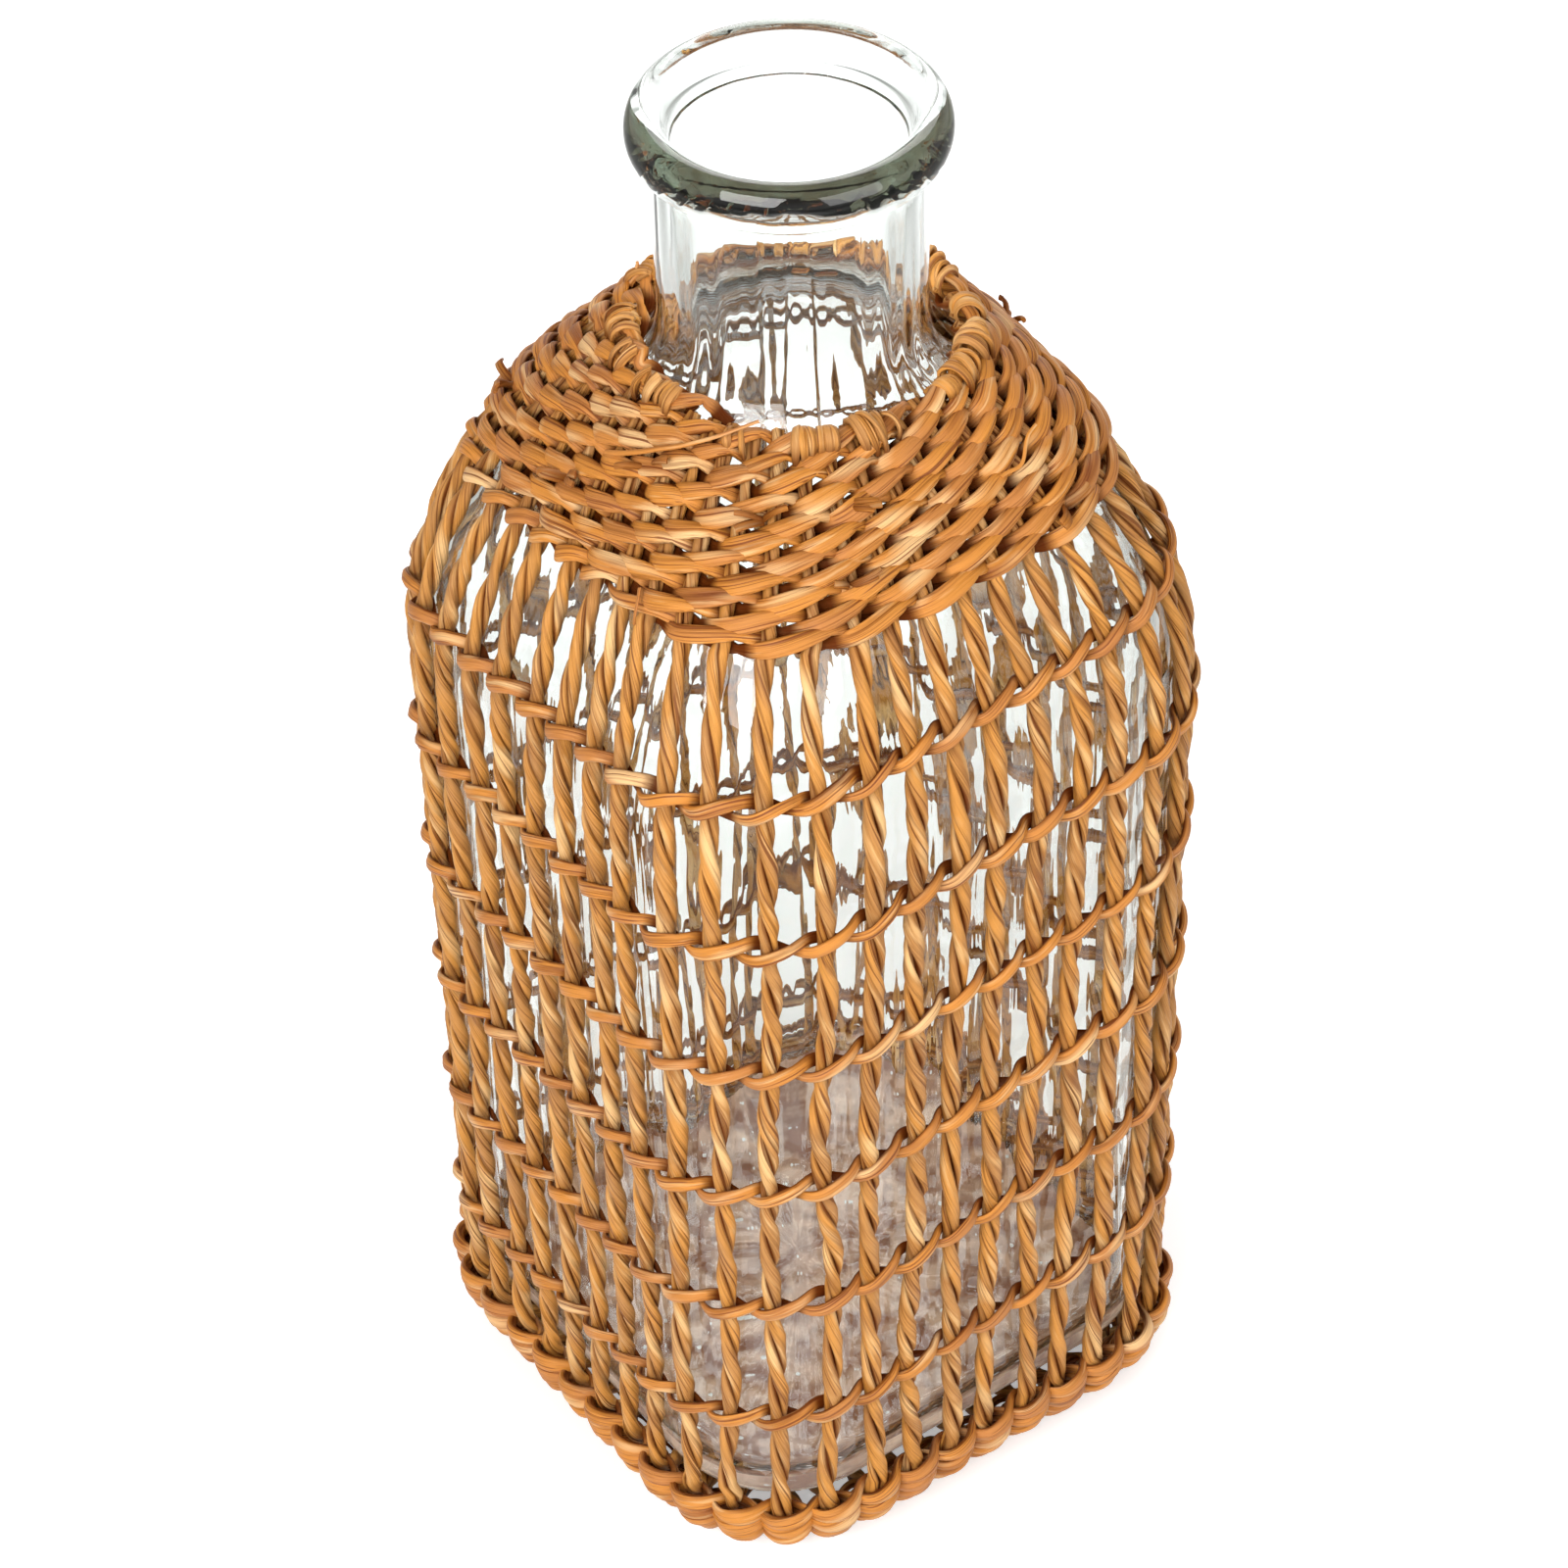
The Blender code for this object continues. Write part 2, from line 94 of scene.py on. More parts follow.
INNER_RIPPLE_HEIGHT = 0.10
INNER_RIPPLE_DEPTH = 0.00008
NECK_RIPPLE_SHARE = 0.7
WHITE = (1, 1, 1, 1)
GLASS_TINT = (0.975, 0.99, 0.985, 1)
GLASS_PATCH_TINT = (0.955, 0.985, 0.970, 1)
GLASS_DEPTH_TINT = (0.56, 0.72, 0.65, 1)
GLASS_DEPTH_DENSITY = 10
GLASS_STREAK_HEIGHT = 0.0002
# The foot's colour is a painted refraction: the tan of the rush seen through the foot beneath the bottle, in
# lighter and darker patches.
FOOT_SEEN_RUSH_TINT = (0.82, 0.52, 0.36, 1)
FOOT_SEEN_RUSH_PATCH_TINT = (0.28, 0.085, 0.035, 1)
FOOT_ROUGHNESS = 0.60
FOOT_CLEARNESS = 0.35

HALF_FLAT = HALF_SIDE - CORNER_RADIUS
QUARTER_GIRTH = 2 * HALF_FLAT + CORNER_RADIUS * math.pi / 2
RIM_BOTTOM = GLASS_TOP - RIM_HEIGHT
BORE_RADIUS = NECK_RADIUS - NECK_WALL
FLOOR_TOP = GLASS_BOTTOM + GLASS_FLOOR


def turned(flat_points, angles):
    """Points seen from above, each turned about the middle by its own angle."""
    x, y = flat_points[..., 0], flat_points[..., 1]
    return np.stack([x * np.cos(angles) - y * np.sin(angles), x * np.sin(angles) + y * np.cos(angles)], -1)


def wall_outline(share):
    """The bottle's outline from above and its outward directions. Share 0 is the middle of the +X side."""
    quarter = np.round(share * 4)
    along = (share * 4 - quarter) * QUARTER_GIRTH
    on_flat = np.clip(along, -HALF_FLAT, HALF_FLAT)
    angle = (along - on_flat) / CORNER_RADIUS
    outward = np.stack([np.cos(angle), np.sin(angle)], -1)
    point = outward * CORNER_RADIUS + np.stack([np.full_like(on_flat, HALF_FLAT), on_flat], -1)
    turn = quarter * math.pi / 2
    return turned(point, turn), turned(outward, turn)


def skin(share, height):
    """Points on the outside of the glass, from its foot up to the rim."""
    share, height = np.broadcast_arrays(np.asarray(share, float), np.asarray(height, float))
    point, outward = wall_outline(share)
    low = np.clip((SHOULDER_START - height) / (SHOULDER_START - FOOT_TOP), 0, 1)
    point = point - outward * (FOOT_DRAW_IN * low)[..., None]
    reach = np.linalg.norm(point, axis=-1)
    rise = np.clip((height - SHOULDER_START) / (SHOULDER_TOP - SHOULDER_START), 0, 1)
    dome = (1 - rise**SHOULDER_POWER) ** SHOULDER_ROUND_POWER
    left = np.clip((NECK_START - height) / (NECK_START - SHOULDER_TOP), 0, 1)
    throat = NECK_RADIUS + (SHOULDER_TOP_RADIUS - NECK_RADIUS) * left**THROAT_POWER
    shoulder = SHOULDER_TOP_RADIUS + (reach - SHOULDER_TOP_RADIUS) * dome
    radius = np.where(height > SHOULDER_TOP, throat, shoulder)
    return np.concatenate([point * (radius / reach)[..., None], height[..., None]], -1)


def unit(vectors):
    return vectors / np.maximum(np.linalg.norm(vectors, axis=-1, keepdims=True), SMALLEST)


def skin_frame(share, height):
    """Directions on the glass: around it counterclockwise, up it and out of it."""
    around = unit(skin(share + SMALL_SHARE, height) - skin(share - SMALL_SHARE, height))
    up = unit(skin(share, height + SMALL_RISE) - skin(share, height - SMALL_RISE))
    out = unit(np.cross(around, up))
    return around, np.cross(out, around), out


MEASURED_HEIGHTS = np.linspace(0, RIM_BOTTOM, MEASURED_STEPS)
MEASURED_SKIN = skin(MEASURED_SHARE, MEASURED_HEIGHTS)
MEASURED_LENGTHS = np.concatenate([[0], np.cumsum(np.linalg.norm(np.diff(MEASURED_SKIN, axis=0), axis=1))])


def length_at(height):
    """Length up the glass, measured along its skin from the foot, at a height."""
    return np.interp(height, MEASURED_HEIGHTS, MEASURED_LENGTHS)


def height_at(length):
    return np.interp(length, MEASURED_LENGTHS, MEASURED_HEIGHTS)


def ease(value):
    value = np.clip(value, 0, 1)
    return value * value * (3 - 2 * value)


RING_SHARES = np.arange(POINTS_AROUND) / POINTS_AROUND
WALL_HEIGHTS = height_at(np.arange(length_at(FOOT_TOP), length_at(NECK_START), RING_STEP)[1:])


def level_ring(plan, height):
    return np.concatenate([plan, np.full((POINTS_AROUND, 1), height)], -1)


def inset_ring(inset, height):
    """A level ring that lies so far inside the outline of the walls."""
    outline, outward = wall_outline(RING_SHARES)
    return level_ring(outline - outward * inset, height)


def round_ring(radius, height):
    return level_ring(unit(wall_outline(RING_SHARES)[0]) * radius, height)


def smoothed(rings):
    """The rings drawn towards their neighbours, so that the shoulder flows into the neck."""
    for _ in range(THROAT_SMOOTHINGS):
        rings[1:-1] = rings[1:-1] / 2 + (rings[:-2] + rings[2:]) / 4
    return rings


def outside_rings():
    """Rings of points over the outside, from the edge of the foot up to the bead under the rim."""
    rings = []
    for turn in np.linspace(0, math.pi / 2, FOOT_STEPS):
        inset = FOOT_DRAW_IN + FOOT_REACH * (1 - math.sin(turn))
        rings.append(inset_ring(inset, GLASS_BOTTOM + (FOOT_TOP - GLASS_BOTTOM) * (1 - math.cos(turn))))
    rings += [skin(RING_SHARES, height) for height in WALL_HEIGHTS]
    neck_top = RIM_BOTTOM - BEAD_HEIGHT
    rings += [round_ring(NECK_RADIUS, height) for height in np.arange(NECK_START, neck_top, RING_STEP)]
    for turn in np.linspace(0, math.pi, BEAD_STEPS):
        radius = NECK_RADIUS + BEAD_DEPTH * math.sin(turn)
        rings.append(round_ring(radius, neck_top + BEAD_HEIGHT * (1 - math.cos(turn)) / 2))
    return smoothed(np.array(rings))


def rim_rings():
    """Rings over the rolled rim, from under its outer side to its top and down the flared mouth."""
    half_width = (RIM_RADIUS - MOUTH_RADIUS) / 2
    half_height = RIM_HEIGHT / 2
    rings = []
    for turn in np.linspace(RIM_FIRST_TURN, RIM_LAST_TURN, RIM_STEPS):
        radius = MOUTH_RADIUS + half_width + half_width * math.cos(turn)
        height = RIM_BOTTOM + half_height + half_height * math.sin(turn)
        rings.append(round_ring(radius, height))
    for way in np.linspace(0, 1, FLARE_STEPS)[1:-1]:
        rings.append(round_ring(radius + (BORE_RADIUS - radius) * way, height + (RIM_BOTTOM - height) * way))
    return np.array(rings)


def inside_rings():
    """Rings down the inside, from the top of the neck to the edge of the floor."""
    rings = [round_ring(BORE_RADIUS, height) for height in np.arange(RIM_BOTTOM, NECK_START, -RING_STEP)]
    for height in WALL_HEIGHTS[::-1]:
        if height > FLOOR_TOP + INNER_FILLET:
            up_throat = np.clip((height - SHOULDER_TOP) / (NECK_START - SHOULDER_TOP), 0, 1)
            depth = GLASS_WALL + (NECK_WALL - GLASS_WALL) * up_throat
            rings.append(skin(RING_SHARES, height) - skin_frame(RING_SHARES, height)[2] * depth)
    for turn in np.linspace(0, math.pi / 2, FOOT_STEPS)[1:]:
        inset = FOOT_DRAW_IN + GLASS_WALL + INNER_FILLET * (1 - math.cos(turn))
        rings.append(inset_ring(inset, FLOOR_TOP + INNER_FILLET * (1 - math.sin(turn))))
    return smoothed(np.array(rings))


def ripple(height, counts, tallest, depth, rng):
    """Ripples that run mostly up and down the glass: sines of many widths, whole numbers of them round it."""
    wave = np.zeros(np.broadcast(RING_SHARES, height).shape)
    for count in counts:
        rises = rng.uniform(-1, 1) / tallest
        wave += np.sin(2 * math.pi * (count * RING_SHARES + rises * height) + rng.uniform(0, 2 * math.pi))
    return depth * wave / math.sqrt(len(counts))


def ripple_left(height):
    """How much of the ripples is left at a height: all on the walls, and a share on the neck."""
    return 1 - (1 - NECK_RIPPLE_SHARE) * ease((height - SHOULDER_START) / (SHOULDER_TOP - SHOULDER_START))


def push_out(rings, amounts):
    """Moves each point of a run of rings along its own normal."""
    around = np.roll(rings, -1, 1) - np.roll(rings, 1, 1)
    along = np.gradient(rings, axis=0)
    return rings + unit(np.cross(around, along)) * amounts[..., None]


def tube_faces(count, sides, start=0):
    """Faces that join rings of points to a tube, and one face over each of its ends, which come last."""
    row = start + np.arange(count - 1)[:, None] * sides
    side = np.arange(sides)[None]
    after = (side + 1) % sides
    quads = np.stack([row + side, row + after, row + sides + after, row + sides + side], -1)
    faces = quads.reshape(-1, 4).tolist()
    faces.append(list(range(start, start + sides))[::-1])
    faces.append(list(range(start + (count - 1) * sides, start + count * sides)))
    return faces


def make_bottle_mesh():
    """The bottle from the middle of its foot round to the middle of its floor. Its foot has its own glass."""
    rng = np.random.default_rng(4)
    outside = outside_rings()
    height = outside[..., 2]
    faded = np.clip((height - FOOT_TOP) / FOOT_TOP, 0, 1)
    wave = ripple(height, OUTER_RIPPLES, OUTER_RIPPLE_HEIGHT, OUTER_RIPPLE_DEPTH, rng)
    outside = push_out(outside, wave * faded * ripple_left(height))
    inside = inside_rings()
    height = inside[..., 2]
    wave = ripple(height, INNER_RIPPLES, INNER_RIPPLE_HEIGHT, INNER_RIPPLE_DEPTH, rng)
    inside = push_out(inside, wave * ripple_left(height))
    floor = [inside[-1] * [scale, scale, 1] for scale in FLAT_RING_SHARES]
    foot = []
    for scale in FLAT_RING_SHARES[::-1]:
        foot.append(outside[0] * [scale, scale, 1] + [0, 0, PUSH_UP * (1 - scale**PUSH_UP_POWER)])
    rings = np.concatenate([foot, outside, rim_rings(), inside, floor])
    faces = tube_faces(len(rings), POINTS_AROUND)
    mesh = bpy.data.meshes.new("pressed_glass_bottle")
    mesh.from_pydata(rings.reshape(-1, 3).tolist(), [], faces)
    mesh.shade_smooth()
    in_foot = np.zeros(len(faces), int)
    in_foot[:(len(foot) + FOOT_STEPS // 2) * POINTS_AROUND] = 1
    in_foot[-2] = 1
    mesh.polygons.foreach_set("material_index", in_foot)
    return mesh


def add_piece(name, mesh, material):
    piece = bpy.data.objects.new(name, mesh)
    bpy.context.scene.collection.objects.link(piece)
    mesh.materials.append(material)
    return piece


def set_inputs(node, inputs):
    """Gives a shader node its inputs: plain values, or the outputs of other nodes, which it links."""
    for socket, value in inputs.items():
        if isinstance(value, bpy.types.NodeSocket):
            node.id_data.links.new(value, node.inputs[socket])
        else:
            node.inputs[socket].default_value = value


def add_node(tree, kind, inputs, **settings):
    node = tree.nodes.new("ShaderNode" + kind)
    for setting, value in settings.items():
        setattr(node, setting, value)
    set_inputs(node, inputs)
    return node


def rescaled(tree, value, start=0.0, stop=1.0, low=0.0, high=1.0):
    """A value that goes from low to high while the given one goes from start to stop."""
    limits = {"Value": value, "From Min": start, "From Max": stop, "To Min": low, "To Max": high}
    return add_node(tree, "MapRange", limits).outputs["Result"]


def mixed(tree, share, first, second):
    """The first colour, or by its share the second."""
    colours = {"Factor": share, "A": first, "B": second}
    return add_node(tree, "Mix", colours, data_type="RGBA").outputs["Result"]


def new_material(name):
    material = bpy.data.materials.new(name)
    material.use_nodes = True
    return material, material.node_tree, material.node_tree.nodes["Principled BSDF"]


def clear_glass(name, tint, patch_tint, roughness, clearness):
    """Clear glass with patches of a second tint, tiny white seeds, which are painted glints on the dull foot,
    upright streaks and a faint green in its depth.
    It lets the lamps reach what is behind it."""
    material, tree, shader = new_material(name)
    place = add_node(tree, "TexCoord", {}).outputs["Object"]
    patches = add_node(tree, "TexNoise", {"Vector": place, "Scale": 200, "Detail": 6})
    colour = mixed(tree, rescaled(tree, patches.outputs["Fac"], 0.38, 0.62), tint, patch_tint)
    # Tiny seeds painted white, which on the dull foot are painted glints.
    glint_seeds = add_node(tree, "TexVoronoi", {"Vector": place, "Scale": 260})
    colour = mixed(tree, rescaled(tree, glint_seeds.outputs["Distance"], 0.14, 0.10), colour, WHITE)
    stretch = add_node(tree, "Mapping", {"Vector": place, "Scale": (1, 1, 0.11)})
    streaks = add_node(tree, "TexNoise", {
        "Vector": stretch.outputs["Vector"], "Scale": 190, "Detail": 3, "Roughness": 0.45})
    bump = add_node(tree, "Bump", {
        "Height": streaks.outputs["Fac"], "Strength": 0.3, "Distance": GLASS_STREAK_HEIGHT})
    set_inputs(shader, {
        "Base Color": colour, "Normal": bump.outputs["Normal"], "Roughness": roughness, "IOR": 1.5,
        "Transmission Weight": clearness})
    see_through = add_node(tree, "BsdfTransparent", {"Color": WHITE})
    path = add_node(tree, "LightPath", {})
    for_lamps = add_node(tree, "MixShader", {
        "Fac": path.outputs["Is Shadow Ray"], 1: shader.outputs["BSDF"], 2: see_through.outputs["BSDF"]})
    depth = add_node(tree, "VolumeAbsorption", {"Color": GLASS_DEPTH_TINT, "Density": GLASS_DEPTH_DENSITY})
    set_inputs(tree.nodes["Material Output"], {
        "Surface": for_lamps.outputs["Shader"], "Volume": depth.outputs["Volume"]})
    return material


bottle = add_piece("pressed_glass_bottle", make_bottle_mesh(),
                   clear_glass("clear_glass", GLASS_TINT, GLASS_PATCH_TINT, 0, 1))
# The foot's dull glass carries the painted refraction of the rush beneath it.
foot_glass = clear_glass("pressed_glass_foot", FOOT_SEEN_RUSH_TINT, FOOT_SEEN_RUSH_PATCH_TINT, FOOT_ROUGHNESS, FOOT_CLEARNESS)
bottle.data.materials.append(foot_glass)
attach(bottle, "root")
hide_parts("glass_bottle")

# The stakes are cords of rush, each twisted from two plies of folded leaf. They cross under the bottle and
# stand up its sides, and their ends are folded over the collar's edge. The weft squeezes them as it passes.

STAKES_PER_SIDE = 11
STAKE_COUNT = 4 * STAKES_PER_SIDE
STAKE_STEP = 1 / STAKE_COUNT
STAKE_LIFT = 0.00185
CROSSED_LIFT = 0.0020
COLLARED_LIFT = 0.00235
STAKE_SWAY = 0.0011
STAKE_SWAY_LENGTH = 0.028
CROSSING_REACH = 0.0034
STAKE_BEND_HEIGHT = 0.011
BEND_STEPS = 18
LANE_SHARE = 0.80
FLAT_REACH = 0.0351
LOWER_LAYER = 0.00235
UPPER_LAYER = 0.00575
CORD_STEP = 0.00115
CORD_SIZE_SHARES = (0.9, 1.06)
PLY_WIDTH = 0.0023
PLY_THICKNESS = 0.0017
PLY_APART = 0.00079
PLY_DEEP = 0.00062
TOP_WIDTH_SHARE = 0.62
SQUEEZED_APART_SHARE = 0.25
SQUEEZED_DEEP_SHARE = 0.22
SQUEEZED_PLY_SHARE = 0.15
SQUEEZED_SHADE = 0.40
COLLARED_DEEP_SHARE = 0.30
COLLARED_PLY_SHARE = 0.28
COLLARED_SHADE = 0.30
LAY_LENGTH = 0.0215
LAY_LENGTH_SHARES = (0.86, 1.16)
LAY_DRIFT = 1.3
LAY_DRIFT_LENGTH = 0.04
LEAF_SIDES = 14
LEAF_SQUARENESS = 0.85
LEAF_CHANGE_LENGTH = 0.012
SLOW_CHANGE_LENGTH = 0.05
WIDTH_CHANGE_SHARE = 0.15
SWELL_SHARES = (0.07, 0.05)
SWELL_DRIFT = 2.0
SLIT_ANGLE = 0.24
SLIT_SHARE = 0.16
SLIT_DRIFT = 1.2
# Share of painted shade in the slit's groove.
SLIT_PAINTED_SHADE = 0.5
FIBRE_PATTERN_LENGTH = 50
FIBRE_HEIGHT = 0.0003
SHARPEST_SMOOTH_EDGE = math.radians(70)
# The colour of painted shade on the rush, where strands are tucked in among others.
PAINTED_SHADE_RUSH = (0.100, 0.018, 0.0020, 1)
SPIRAL_START_SHARE = 0.125
WALL_TURNS = 6.66
COLLAR_TURNS = 11
EDGE_TURNS = 0.4
BORDER_TOP = 0.0145
WALL_WEFT_HEIGHT = 0.0038
COLLAR_START = 0.1865
FOLD_POINTS = 30
FOLD_RISES = (-0.0016, -0.0002, 0.0010, 0.0017, 0.0016, 0.0010, 0.0001, -0.0010, -0.0019, -0.0027)
FOLD_LIFTS = (0.0012, 0.0014, 0.0020, 0.0032, 0.0046, 0.0054, 0.0056, 0.0053, 0.0045, 0.0032)
FOLD_SLANT = 0.0024
FOLD_SPREAD = 0.0008
FOLD_WIDTH = 0.0015
FOLD_THICKNESS = 0.0008
FOLD_TILT = 0.6
FOLD_DRIFT = 0.8
FOLD_DRIFT_SHARE = 0.4
FOLD_SHADE = 0.8
FOLDS_SEEN_SHARE = 0.5

WEFT_START_LENGTH = float(length_at(BORDER_TOP + WALL_WEFT_HEIGHT / 2))
COLLAR_START_LENGTH = float(length_at(COLLAR_START))
EDGE_LENGTH = float(length_at(SHOULDER_TOP))
WALL_RISE = (COLLAR_START_LENGTH - WEFT_START_LENGTH) / WALL_TURNS
COLLAR_RISE = (EDGE_LENGTH - COLLAR_START_LENGTH) / (COLLAR_TURNS + EDGE_TURNS)
STAKE_TOP_LENGTH = EDGE_LENGTH - COLLAR_RISE / 2
SHOULDER_START_LENGTH = length_at(SHOULDER_START)
EDGE_GIRTH = 2 * math.pi * SHOULDER_TOP_RADIUS


def weft_length(turns):
    """Length up the glass at which the climbing weft lies after so many turns."""
    wall = WEFT_START_LENGTH + WALL_RISE * turns
    collar = COLLAR_START_LENGTH + COLLAR_RISE * (turns - WALL_TURNS)
    return np.where(turns < WALL_TURNS, wall, collar)


def drift(rng, places, step, size):
    """A slow random drift along a strand, which changes over about one step of its length."""
    knots = rng.uniform(-size, size, int((places.max() - places.min()) / step) + 3)
    at = (places - places.min()) / step
    whole = at.astype(int)
    part = at - whole
    part = part * part * (3 - 2 * part)
    return knots[whole] * (1 - part) + knots[whole + 1] * part


def run_of(centres):
    """Length along a strand at each of its centres."""
    return np.concatenate([[0], np.cumsum(np.linalg.norm(np.diff(centres, axis=0), axis=1))])


def lay_strand(centres, across, width, thickness, rng,
               hidden=None, shade=0.0, hidden_from=0.1, lit_share=0.0):
    """One folded rush leaf swept along its centres, with a lengthwise slit where its edges meet. Each point
    also gets its straight place, where it would lie on the leaf pulled straight, which the fibres follow, and
    its painted shade, 0 to 1, where it is tucked in among its neighbours: in the slit, by the given shade,
    and on its hidden side, which grows darker from the given share of the way. Its innermost part is painted
    lighter again by the lit share, as light comes through the glass."""
    run = run_of(centres)
    course = unit(np.gradient(centres, axis=0))
    across = unit(across - course * np.sum(across * course, -1, keepdims=True))
    out = np.cross(course, across)
    width = width * (1 + drift(rng, run, LEAF_CHANGE_LENGTH, WIDTH_CHANGE_SHARE)
                     + drift(rng, run, SLOW_CHANGE_LENGTH, WIDTH_CHANGE_SHARE))
    thickness = thickness * (1 + drift(rng, run, LEAF_CHANGE_LENGTH, WIDTH_CHANGE_SHARE))
    angle = np.arange(LEAF_SIDES) / LEAF_SIDES * 2 * math.pi
    turned_by = drift(rng, run, SLOW_CHANGE_LENGTH, SWELL_DRIFT)[:, None]
    from_slit = angle + drift(rng, run, SLOW_CHANGE_LENGTH, SLIT_DRIFT)[:, None] + rng.uniform(0, 2 * math.pi)
    slit = np.exp(-((np.mod(from_slit, 2 * math.pi) - math.pi) / SLIT_ANGLE) ** 2)
    swell = (1 + SWELL_SHARES[0] * np.cos(3 * angle + turned_by)
             + SWELL_SHARES[1] * np.cos(5 * angle - 2 * turned_by) - SLIT_SHARE * slit)
    x = (width[:, None] / 2) * np.sign(np.cos(angle)) * np.abs(np.cos(angle)) ** LEAF_SQUARENESS * swell
    y = (thickness[:, None] / 2) * np.sign(np.sin(angle)) * np.abs(np.sin(angle)) ** LEAF_SQUARENESS * swell
    offsets = across[:, None] * x[..., None] + out[:, None] * y[..., None]
    # Painted shade: the slit's groove, the given shade and the side facing what hides the strand are darker,
    # and the innermost part is painted lighter by the lit share.
    painted_shade = np.maximum(SLIT_PAINTED_SHADE * slit, np.broadcast_to(shade, run.shape)[:, None])
    if hidden is not None:
        towards = np.sum(unit(offsets) * hidden[:, None], -1)
        painted_shade = np.maximum(painted_shade, ease((towards + hidden_from) / 0.9))
        painted_shade = painted_shade * (1 - lit_share * ease((towards - 0.3) / 0.5))
    along = np.broadcast_to(run[:, None], x.shape) + rng.uniform(0, FIBRE_PATTERN_LENGTH)
    return centres[:, None] + offsets, np.stack([x, y, along], -1), painted_shade


def tie_together(name, strands, material):
    """Makes one piece of several strands, each closed at its cut ends."""
    points, straight, painted_shade = zip(*strands)
    faces = []
    start = 0
    for rings in points:
        count, sides = rings.shape[:2]
        faces += tube_faces(count, sides, start)
        start += count * sides
    mesh = bpy.data.meshes.new(name)
    mesh.from_pydata(np.concatenate([p.reshape(-1, 3) for p in points]).tolist(), [], faces)
    mesh.shade_smooth()
    mesh.set_sharp_from_angle(angle=SHARPEST_SMOOTH_EDGE)
    store = mesh.attributes.new("straight", "FLOAT_VECTOR", "POINT")
    store.data.foreach_set("vector", np.concatenate([s.ravel() for s in straight]).astype(np.float32))
    # Each point's painted shade goes with it to the material.
    store = mesh.attributes.new("painted_shade", "FLOAT", "POINT")
    store.data.foreach_set("value", np.concatenate([t.ravel() for t in painted_shade]).astype(np.float32))
    return add_piece(name, mesh, material)


def dry_rush(name, brown, gold, tan, straw, roughness):
    """Dried rush leaf: fibres along the strand, slow changes of gold, tan and straw, pale scuffs, dark folds
    and a waxy shine. Painted shade darkens it where it is tucked in among other strands, and dims its shine
    there."""
    material, tree, shader = new_material(name)
    place = add_node(tree, "Attribute", {}, attribute_name="straight").outputs["Vector"]
    painted_shade = add_node(tree, "Attribute", {}, attribute_name="painted_shade").outputs["Fac"]

    def grain(across, along, detail, distortion=0.0):
        stretch = add_node(tree, "Mapping", {
            "Vector": place, "Scale": (across, across, along), "Location": (across / 7, along, across)})
        noise = add_node(tree, "TexNoise", {
            "Vector": stretch.outputs["Vector"], "Scale": 1, "Detail": detail, "Distortion": distortion})
        return noise.outputs["Fac"]

    def blend_of(low, high, share, start, stop, most=1.0):
        return mixed(tree, rescaled(tree, share, start, stop, high=most), low, high)

    fibres = grain(4200, 45, 3, 0.3)
    folds = grain(2600, 22, 1, 0.2)
    scuffs = grain(900, 80, 3)
    colour = blend_of(gold, tan, grain(150, 45, 1), 0.42, 0.60)
    colour = blend_of(colour, straw, grain(230, 60, 1), 0.56, 0.68)
    colour = blend_of(colour, brown, grain(330, 50, 2), 0.60, 0.80)
    colour = blend_of(colour, brown, fibres, 0.50, 0.70, 0.55)
    colour = blend_of(colour, straw, scuffs, 0.58, 0.72, 0.75)
    colour = blend_of(colour, brown, folds, 0.62, 0.67, 0.85)
    # Painted shade: the colour goes towards a dark brown where the strand is tucked in.
    colour = blend_of(colour, PAINTED_SHADE_RUSH, painted_shade, 0.10, 0.9, 0.95)
    relief = add_node(tree, "Math", {0: folds, 1: -0.6, 2: fibres}, operation="MULTIPLY_ADD")
    bump = add_node(tree, "Bump", {
        "Height": relief.outputs["Value"], "Strength": 0.8, "Distance": FIBRE_HEIGHT})
    # The shine is dimmed where the painted shade lies.
    set_inputs(shader, {
        "Base Color": colour, "Normal": bump.outputs["Normal"],
        "Roughness": rescaled(tree, fibres, low=roughness - 0.1, high=roughness + 0.15),
        "Specular IOR Level": rescaled(tree, painted_shade, low=0.32, high=0.02)})
    return material


def lay_on_glass(share, length, lift):
    """Places that lie a lift off the glass, and the directions round it, up it and out of it there."""
    height = height_at(length)
    around, up, out = skin_frame(share, height)
    return skin(share, height) + out * np.asarray(lift)[..., None], around, up, out


def crossings(share):
    """Lengths up the glass at which the open weft crosses an upright."""
    turns = (share - SPIRAL_START_SHARE) % 1 + np.arange(math.ceil(WALL_TURNS))
    return weft_length(turns[turns < WALL_TURNS])


def collar_edge(share):
    """Length up the glass at which the collar begins over an upright."""
    turns = (share - SPIRAL_START_SHARE - WALL_TURNS) % 1 + WALL_TURNS
    return float(weft_length(np.asarray(turns)))


